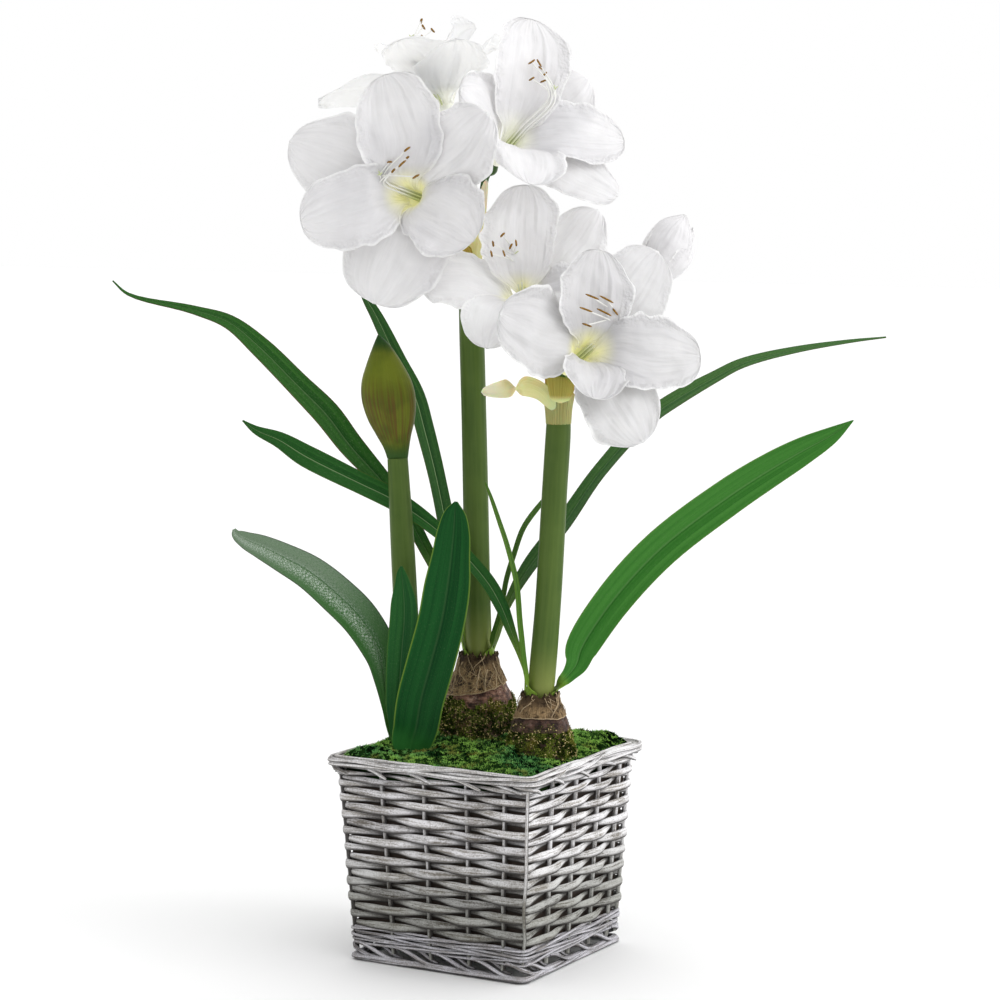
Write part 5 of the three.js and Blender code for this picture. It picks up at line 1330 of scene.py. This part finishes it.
PALE_FOOT = (0.22, 0.36, 0.045)
LEAF_PAINTS = {  # base, light, the rib's share, the edge and its share, specks, foot, far (greyed, partly painted glare), painted sheen
    "leaf_back_long_left": (
        (0.009, 0.066, 0.009), (0.040, 0.150, 0.022), 0.25, (0.11, 0.045, 0.015), 0.75, 0.51),
    "leaf_front_long_left": (
        (0.008, 0.062, 0.010), (0.028, 0.130, 0.022), 0.7, (0.10, 0.13, 0.02), 0.5, 0.26),
    "leaf_front_slim_left": (
        (0.040, 0.120, 0.014), (0.11, 0.23, 0.030), 0.2, (0.10, 0.13, 0.02), 0.3, 0.17),
    "leaf_back_slim_right": (
        (0.030, 0.100, 0.012), (0.09, 0.20, 0.028), 0.2, (0.10, 0.13, 0.02), 0.3, 0.17),
    "leaf_side_arching": (
        (0.022, 0.100, 0.018), (0.060, 0.170, 0.045), 0.1, (0.05, 0.04, 0.035), 0.6, 0.42,
        (0.04, 0.15, 0.02), (0.215, 0.285, 0.205), (0.60, 0.68, 0.60)),
    "leaf_side_small": (
        (0.006, 0.060, 0.014), (0.022, 0.115, 0.024), 0.1, (0.08, 0.16, 0.02), 0.5, 0.2,
        (0.02, 0.12, 0.02)),
    "leaf_back_upper_left": (
        (0.008, 0.055, 0.010), (0.040, 0.130, 0.026), 0.9, (0.10, 0.10, 0.02), 0.5, 0.34),
    "leaf_back_long_right": (
        (0.020, 0.095, 0.018), (0.075, 0.175, 0.045), 0.3, (0.08, 0.035, 0.015), 0.4, 0.51),
    "leaf_front_broad_right": (
        (0.022, 0.130, 0.014), (0.058, 0.215, 0.034), 0.15, (0.14, 0.24, 0.03), 0.4, 0.14),
    "leaf_side_broad": (
        (0.002, 0.040, 0.008), (0.010, 0.086, 0.017), 0.06, (0.14, 0.24, 0.03), 0.8, 0.09,
        (0.03, 0.16, 0.03)),
}


def strap_leaf(name, base, light, rib, edge, edge_share, specks, foot=PALE_FOOT, far=None, painted_sheen=None):
    """A leathery leaf with parallel veins, a groove or pale line up its middle and an edge."""
    paint = Paint(name, 0.4, Specular_IOR_Level=0.07)
    across, along = paint.across(), paint.along()
    veins, broad = paint.lines(42, 1.6, 4), paint.lines(5, 1.1, 2, 0.5)
    speckled = paint.lines(60, 200, 2)
    paint.start(broad, 0.3, 0.7, base, light)
    paint.over(light, veins, 0.5, 0.68, 0.6)
    paint.over(base, veins, 0.46, 0.3, 0.6)
    paint.over((0.20, 0.30, 0.15), speckled, 0.56, 0.72, specks)
    if far:  # greyed, partly the leaf's own colour and partly painted glare, and a painted sheen of whitish specks, most of all beside the middle and further out
        outer = paint.times(paint.span(across, 0.54, 0.4), paint.span(along, 0.4, 0.65))
        outer = paint.math("MAXIMUM", outer, paint.span(along, 0.5, 0.95))
        paint.cover(far, paint.times(outer, paint.span(speckled, 0.4, 0.6, 0.5, 0.95)))
        painted_sheen_share = paint.span(paint.off(across, 0.6), 0.3, 0.05)
        painted_sheen_share = paint.times(painted_sheen_share, paint.span(along, 0.3, 0.55))
        painted_sheen_share = paint.times(painted_sheen_share, paint.span(broad, 0.3, 0.55, 0.3, 1))
        # painted sheen: whitish specks that stand in for the glare of the light
        paint.cover(painted_sheen, paint.times(painted_sheen_share, paint.span(speckled, 0.47, 0.62, 0.05, 0.95)))
    off_middle = paint.off(across, 0.5)
    paint.over((0.24, 0.36, 0.17), off_middle, 0.035, 0.012, rib)
    # painted shade down one side of the groove beside the midrib
    paint.over(base, paint.off(across, 0.465), 0.028, 0.0, 0.55)
    paint.over(edge, off_middle, 0.462, 0.49, edge_share)
    paint.over(foot, along, 0.36, 0.20)
    groove = paint.span(off_middle, 0.0, 0.08)
    return paint.done(paint.plus(paint.times(veins, 0.5), groove), 0.0009, 0.6)


def white_petal(name, white, throat, through):
    """Pearly white with faint veins that run from the claw and fan out towards the edge, a painted
    highlight along the edges and a throat with a painted glow. How white it is, set for each bloom, is
    partly its own white and partly painted light and shade.
    """
    paint = Paint(name, 0.5, Subsurface_Weight=through, Subsurface_Scale=0.008)
    off_middle, along = paint.off(paint.across(), 0.5), paint.along()
    veins, soft = paint.lines(30, 2.6, 4, 0.65), paint.lines(8, 2.2, 1.5, 0.5)
    blotches = paint.spots(42, 1.5, 0.5)
    # white is set apart for each bloom: partly the petal's own white and partly painted light and shade
    tint = (white, 0.985 * white, white)
    paint.start(veins, 0.4, 0.6, shaded(tint, 0.965), shaded(tint, 1.01))
    paint.over(shaded(tint, 0.95), soft, 0.35, 0.65, 0.6)
    paint.over(shaded(tint, 1.05), blotches, 0.45, 0.7, 0.6)
    # painted highlight: the edges and the tip are painted whiter
    margin = paint.math("MAXIMUM", paint.span(off_middle, 0.455, 0.49), paint.span(along, 0.955, 0.99))
    paint.cover((0.99, 0.985, 0.98), paint.times(margin, 0.7))
    middle = paint.span(off_middle, 0.35, 0.0, 0.35, 0.9)
    paint.cover(throat, paint.times(paint.span(along, 0.26, 0.07), middle))
    # painted light: the throat glows with a weak emission in its own colour, though it is no lamp
    glow = paint.mix(paint.span(along, 0.22, 0.05), (0, 0, 0), shaded(throat, 0.95))
    radius = (1.0, 0.95, 0.85)
    paint.fill(paint.surface, Emission_Color=glow, Emission_Strength=0.2, Subsurface_Radius=radius)
    crinkles = paint.times(paint.lines(16, 22, 2, 0.55), paint.span(off_middle, 0.3, 0.48, 0.1, 1.3))
    height = paint.plus(paint.times(veins, 0.14), paint.times(soft, 1.6))
    height = paint.plus(height, paint.times(blotches, 2.2))
    return paint.done(paint.plus(height, crinkles), 0.0028, 0.75)


def plain_thread():
    paint = Paint("filament", 0.5)
    paint.start(paint.along(), 1.0, 3.2, (0.62, 0.68, 0.36), (0.86, 0.86, 0.83))
    return paint.done()


def closed_bud_skin():
    paint = Paint("closed_bud", 0.42, Specular_IOR_Level=0.14)
    along, lines = paint.along(), paint.lines(70, 1.6, 4)
    paint.start(paint.spots(55, 2, 0.5), 0.35, 0.65, (0.052, 0.086, 0.005), (0.112, 0.145, 0.009))
    upper = paint.times(paint.span(along, 0.30, 0.60), paint.span(along, 0.88, 0.70))
    paint.cover((0.165, 0.195, 0.014), paint.times(upper, 0.55))
    paint.over((0.20, 0.19, 0.020), lines, 0.5, 0.75, 0.35)
    warm = paint.times(paint.span(along, 0.10, 0.24), paint.span(along, 0.66, 0.42))
    paint.cover((0.105, 0.050, 0.010), paint.times(warm, paint.span(lines, 0.56, 0.38, 0.1, 0.75)))
    paint.over((0.016, 0.060, 0.008), along, 0.76, 0.92)
    paint.over((0.026, 0.078, 0.012), along, 0.16, 0.03, 0.85)
    return paint.done(lines, 0.0007, 0.6)


def papery_bract(name, dark, light, far, far_from=0.5):
    """Thin and ribbed, and another colour at its far end."""
    paint = Paint(name, 0.6, Subsurface_Weight=0.5, Subsurface_Scale=0.004)
    lines = paint.lines(64, 1.4)
    paint.start(lines, 0.3, 0.7, dark, light)
    paint.over(far, paint.along(), far_from, lerp(far_from, 1, 0.8))
    return paint.done(lines, 0.0008, 0.8)


# ---------------------------------------------------------------- the camera and the light
CAMERA_PLACE = (10.59, -2461.9, 644.6)  # in the plants' frame
CAMERA_PITCH = math.radians(6.365)  # below the horizon
CAMERA_LENS, CAMERA_FILM = 110.87, 36
AMBIENT = 0.44
KEY_WAY = (0.85, -0.32, 0.5)  # in the plants' frame
GLOWS = (  # the way to each, how sharp it is, and its strength
    (KEY_WAY, 3, 0.9), ((0, 0, 1), 1, 0.55), ((0, 1, 0), 1, 0.55),
)
FLOOR_REACH = 12.0
WHITE = (1, 1, 1, 1)


def studio_light():
    """A white room, brightest at the key, above and behind. The camera sees it plain."""
    world = bpy.data.worlds.new("studio")
    world.use_nodes = True
    nodes, links = world.node_tree.nodes, world.node_tree.links

    def node(kind, operation, *values):
        made = nodes.new("ShaderNode" + kind)
        made.operation = operation
        for k, value in enumerate(values):
            if isinstance(value, bpy.types.NodeSocket):
                links.new(value, made.inputs[k])
            else:
                made.inputs[k].default_value = value
        return made.outputs["Value"]

    way = nodes.new("ShaderNodeTexCoord").outputs["Generated"]
    strength = AMBIENT
    for aim, sharpness, gain in GLOWS:
        facing = node("VectorMath", "DOT_PRODUCT", way, tuple(TURN @ unit(vector(*aim))))
        glow = node("Math", "POWER", node("Math", "MAXIMUM", facing, 0), sharpness)
        strength = node("Math", "ADD", strength, node("Math", "MULTIPLY", glow, gain))
    room, backdrop = nodes["Background"], nodes.new("ShaderNodeBackground")
    room.inputs["Color"].default_value = backdrop.inputs["Color"].default_value = WHITE
    links.new(strength, room.inputs["Strength"])
    seen = nodes.new("ShaderNodeLightPath").outputs["Is Camera Ray"]
    either = nodes.new("ShaderNodeMixShader")
    for k, source in enumerate((seen, room.outputs[0], backdrop.outputs[0])):
        links.new(source, either.inputs[k])
    links.new(either.outputs[0], nodes["World Output"].inputs["Surface"])
    return world


def set_stage():
    scene = bpy.context.scene
    lens = bpy.data.cameras.new("camera")
    lens.lens, lens.sensor_width, lens.clip_end = CAMERA_LENS, CAMERA_FILM, 50
    camera = put("camera", lens)
    camera.location = from_plants(CAMERA_PLACE)
    camera.rotation_euler = (math.pi / 2 - CAMERA_PITCH, 0, PLANTS_TURN)
    scene.camera = camera

    corners = [(-1, -1, 0), (1, -1, 0), (1, 1, 0), (-1, 1, 0)]
    mesh = bpy.data.meshes.new("floor")
    mesh.from_pydata((FLOOR_REACH * np.array(corners)).tolist(), [], [(0, 1, 2, 3)])
    paint = Paint("pale_floor", 0.9)
    paint.colour = paint.mix(paint.spots(3, 2), (0.93, 0.93, 0.93), (0.95, 0.95, 0.95))
    mesh.materials.append(paint.done())
    floor = put("floor", mesh)

    scene.world = studio_light()
    scene.view_settings.view_transform = "Standard"
    sun = bpy.data.lights.new("key", "SUN")  # wide and soft, the same all over the object
    sun.energy, sun.angle = 0.5, math.radians(30)
    way = mathutils.Vector(TURN @ KEY_WAY)
    put("key", sun).rotation_euler = way.to_track_quat("Z", "Y").to_euler()


# ---------------------------------------------------------------- putting it together
WOOD = (0.12, 0.105, 0.088), (0.34, 0.31, 0.27)
WALL_WASH = (0.70, 0.69, 0.71), (0.97, 0.96, 0.98)
ROD_WASH = (0.90, 0.89, 0.91), (0.99, 0.98, 0.99)
willow = grey_willow("grey_willow", WOOD, WALL_WASH, (0.48, 0.49, 0.45))
rod_willow = grey_willow("rod_willow", WOOD, ROD_WASH, (0.70, 0.70, 0.74))
moss = leafy_moss("leafy_moss", (0.012, 0.055, 0.012), (0.36, 0.66, 0.13), (0.075, 0.34, 0.13))
old_moss = leafy_moss("old_moss", (0.020, 0.036, 0.006), (0.30, 0.36, 0.060), (0.12, 0.17, 0.030))
EARTH, DUST = (0.018, 0.011, 0.007), (0.09, 0.058, 0.036)
liner = spotted("brown_liner", 0.65, 45, 3, None, EARTH, (0.055, 0.034, 0.022), 0.002, 0.5)
soil = spotted("potting_soil", 0.95, 380, 5, (0.3, 0.7), EARTH, DUST, 0.003, 1.0)
for node, finish in (("liner", liner), ("soil", soil)):
    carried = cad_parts[node]
    carried.data.materials.clear()
    carried.data.materials.append(finish)

for name, skin, finish, node in (
    ("wall_weave", weave_wall(), willow, "basket_wall"),
    ("rim_bundle", weave_rim(), rod_willow, "basket_rim"),
    ("waling_rods", weave_waling(), rod_willow, "basket_waling"),
    ("foot_lattice", weave_lattice(), rod_willow, "basket_lattice"),
    ("foot_border", weave_foot(), rod_willow, "basket_foot"),
    ("base_weave", weave_base(), willow, "basket_base"),
):
    skin.build(name, [finish], "willow", [node], from_basket)
make_moss(moss)

fringe = dry_fringe()
for name, bulb in BULBS.items():
    tunic = papery_tunic(f"tunic_{name}", bulb["band"])
    make_bulb(name, bulb, [tunic, fringe, netted_tunic(f"net_{name}", bulb["bright"], bulb["net"])])
make_bulb_moss("back", BULBS["back"], old_moss, 3700, per_straw=5)
make_bulb_moss("front", BULBS["front"], old_moss, 2500, per_straw=8)

scape_green = green_stem("scape", (0.048, 0.094, 0.012), (0.086, 0.142, 0.024), (0.20, 0.24, 0.055))
for name, sections in SCAPES.items():
    make_scape(name, sections, scape_green)
for name, leaf in LEAVES.items():
    make_leaf(name, leaf, strap_leaf(name, *LEAF_PAINTS[name]))

stalk_green = green_stem("pedicel", (0.022, 0.07, 0.010), (0.055, 0.12, 0.02), (0.05, 0.11, 0.02))
# the throat colours, which also set the painted glow of the throats
THROAT, PALE_THROAT = (0.90, 0.87, 0.42), (0.93, 0.93, 0.78)
PETALS = {  # how white they are, set apart for each bloom as painted light and shade, their throat, and how much light comes through them
    "left": (0.78, THROAT, 0.3), "rear": (0.98, PALE_THROAT, 0.9), "right": (0.79, PALE_THROAT, 0.3),
    "centre": (0.88, THROAT, 0.3), "low": (0.65, THROAT, 0.3),
}
RUST, POLLEN = (0.06, 0.022, 0.003), (0.42, 0.22, 0.02)
anther = spotted("anther", 0.85, 1500, 3, (0.35, 0.65), RUST, POLLEN, 0.0004, 0.8)
thread = plain_thread()
for name, bloom in BLOOMS.items():
    make_bloom(name, bloom, [white_petal(f"petal_{name}", *PETALS[name]), thread, anther])
    make_pedicel(name, bloom, stalk_green)
make_white_bud([white_petal("petal_white_bud", 0.84, (0.84, 0.82, 0.66), 0.05)])
make_pedicel("white_bud", WHITE_BUD, stalk_green)

bracts = [
    papery_bract("papery_bract", (0.78, 0.72, 0.26), (0.95, 0.90, 0.54), (0.95, 0.88, 0.66)),
    papery_bract("folded_bract", (0.22, 0.24, 0.02), (0.48, 0.47, 0.09), (0.86, 0.82, 0.36), 0.92),
    papery_bract("sheath", (0.24, 0.23, 0.055), (0.50, 0.47, 0.17), (0.50, 0.47, 0.17)),
]
for name, spathe in SPATHES.items():
    make_spathe(name, spathe, bracts)
make_closed_spathe(closed_bud_skin())

set_stage()
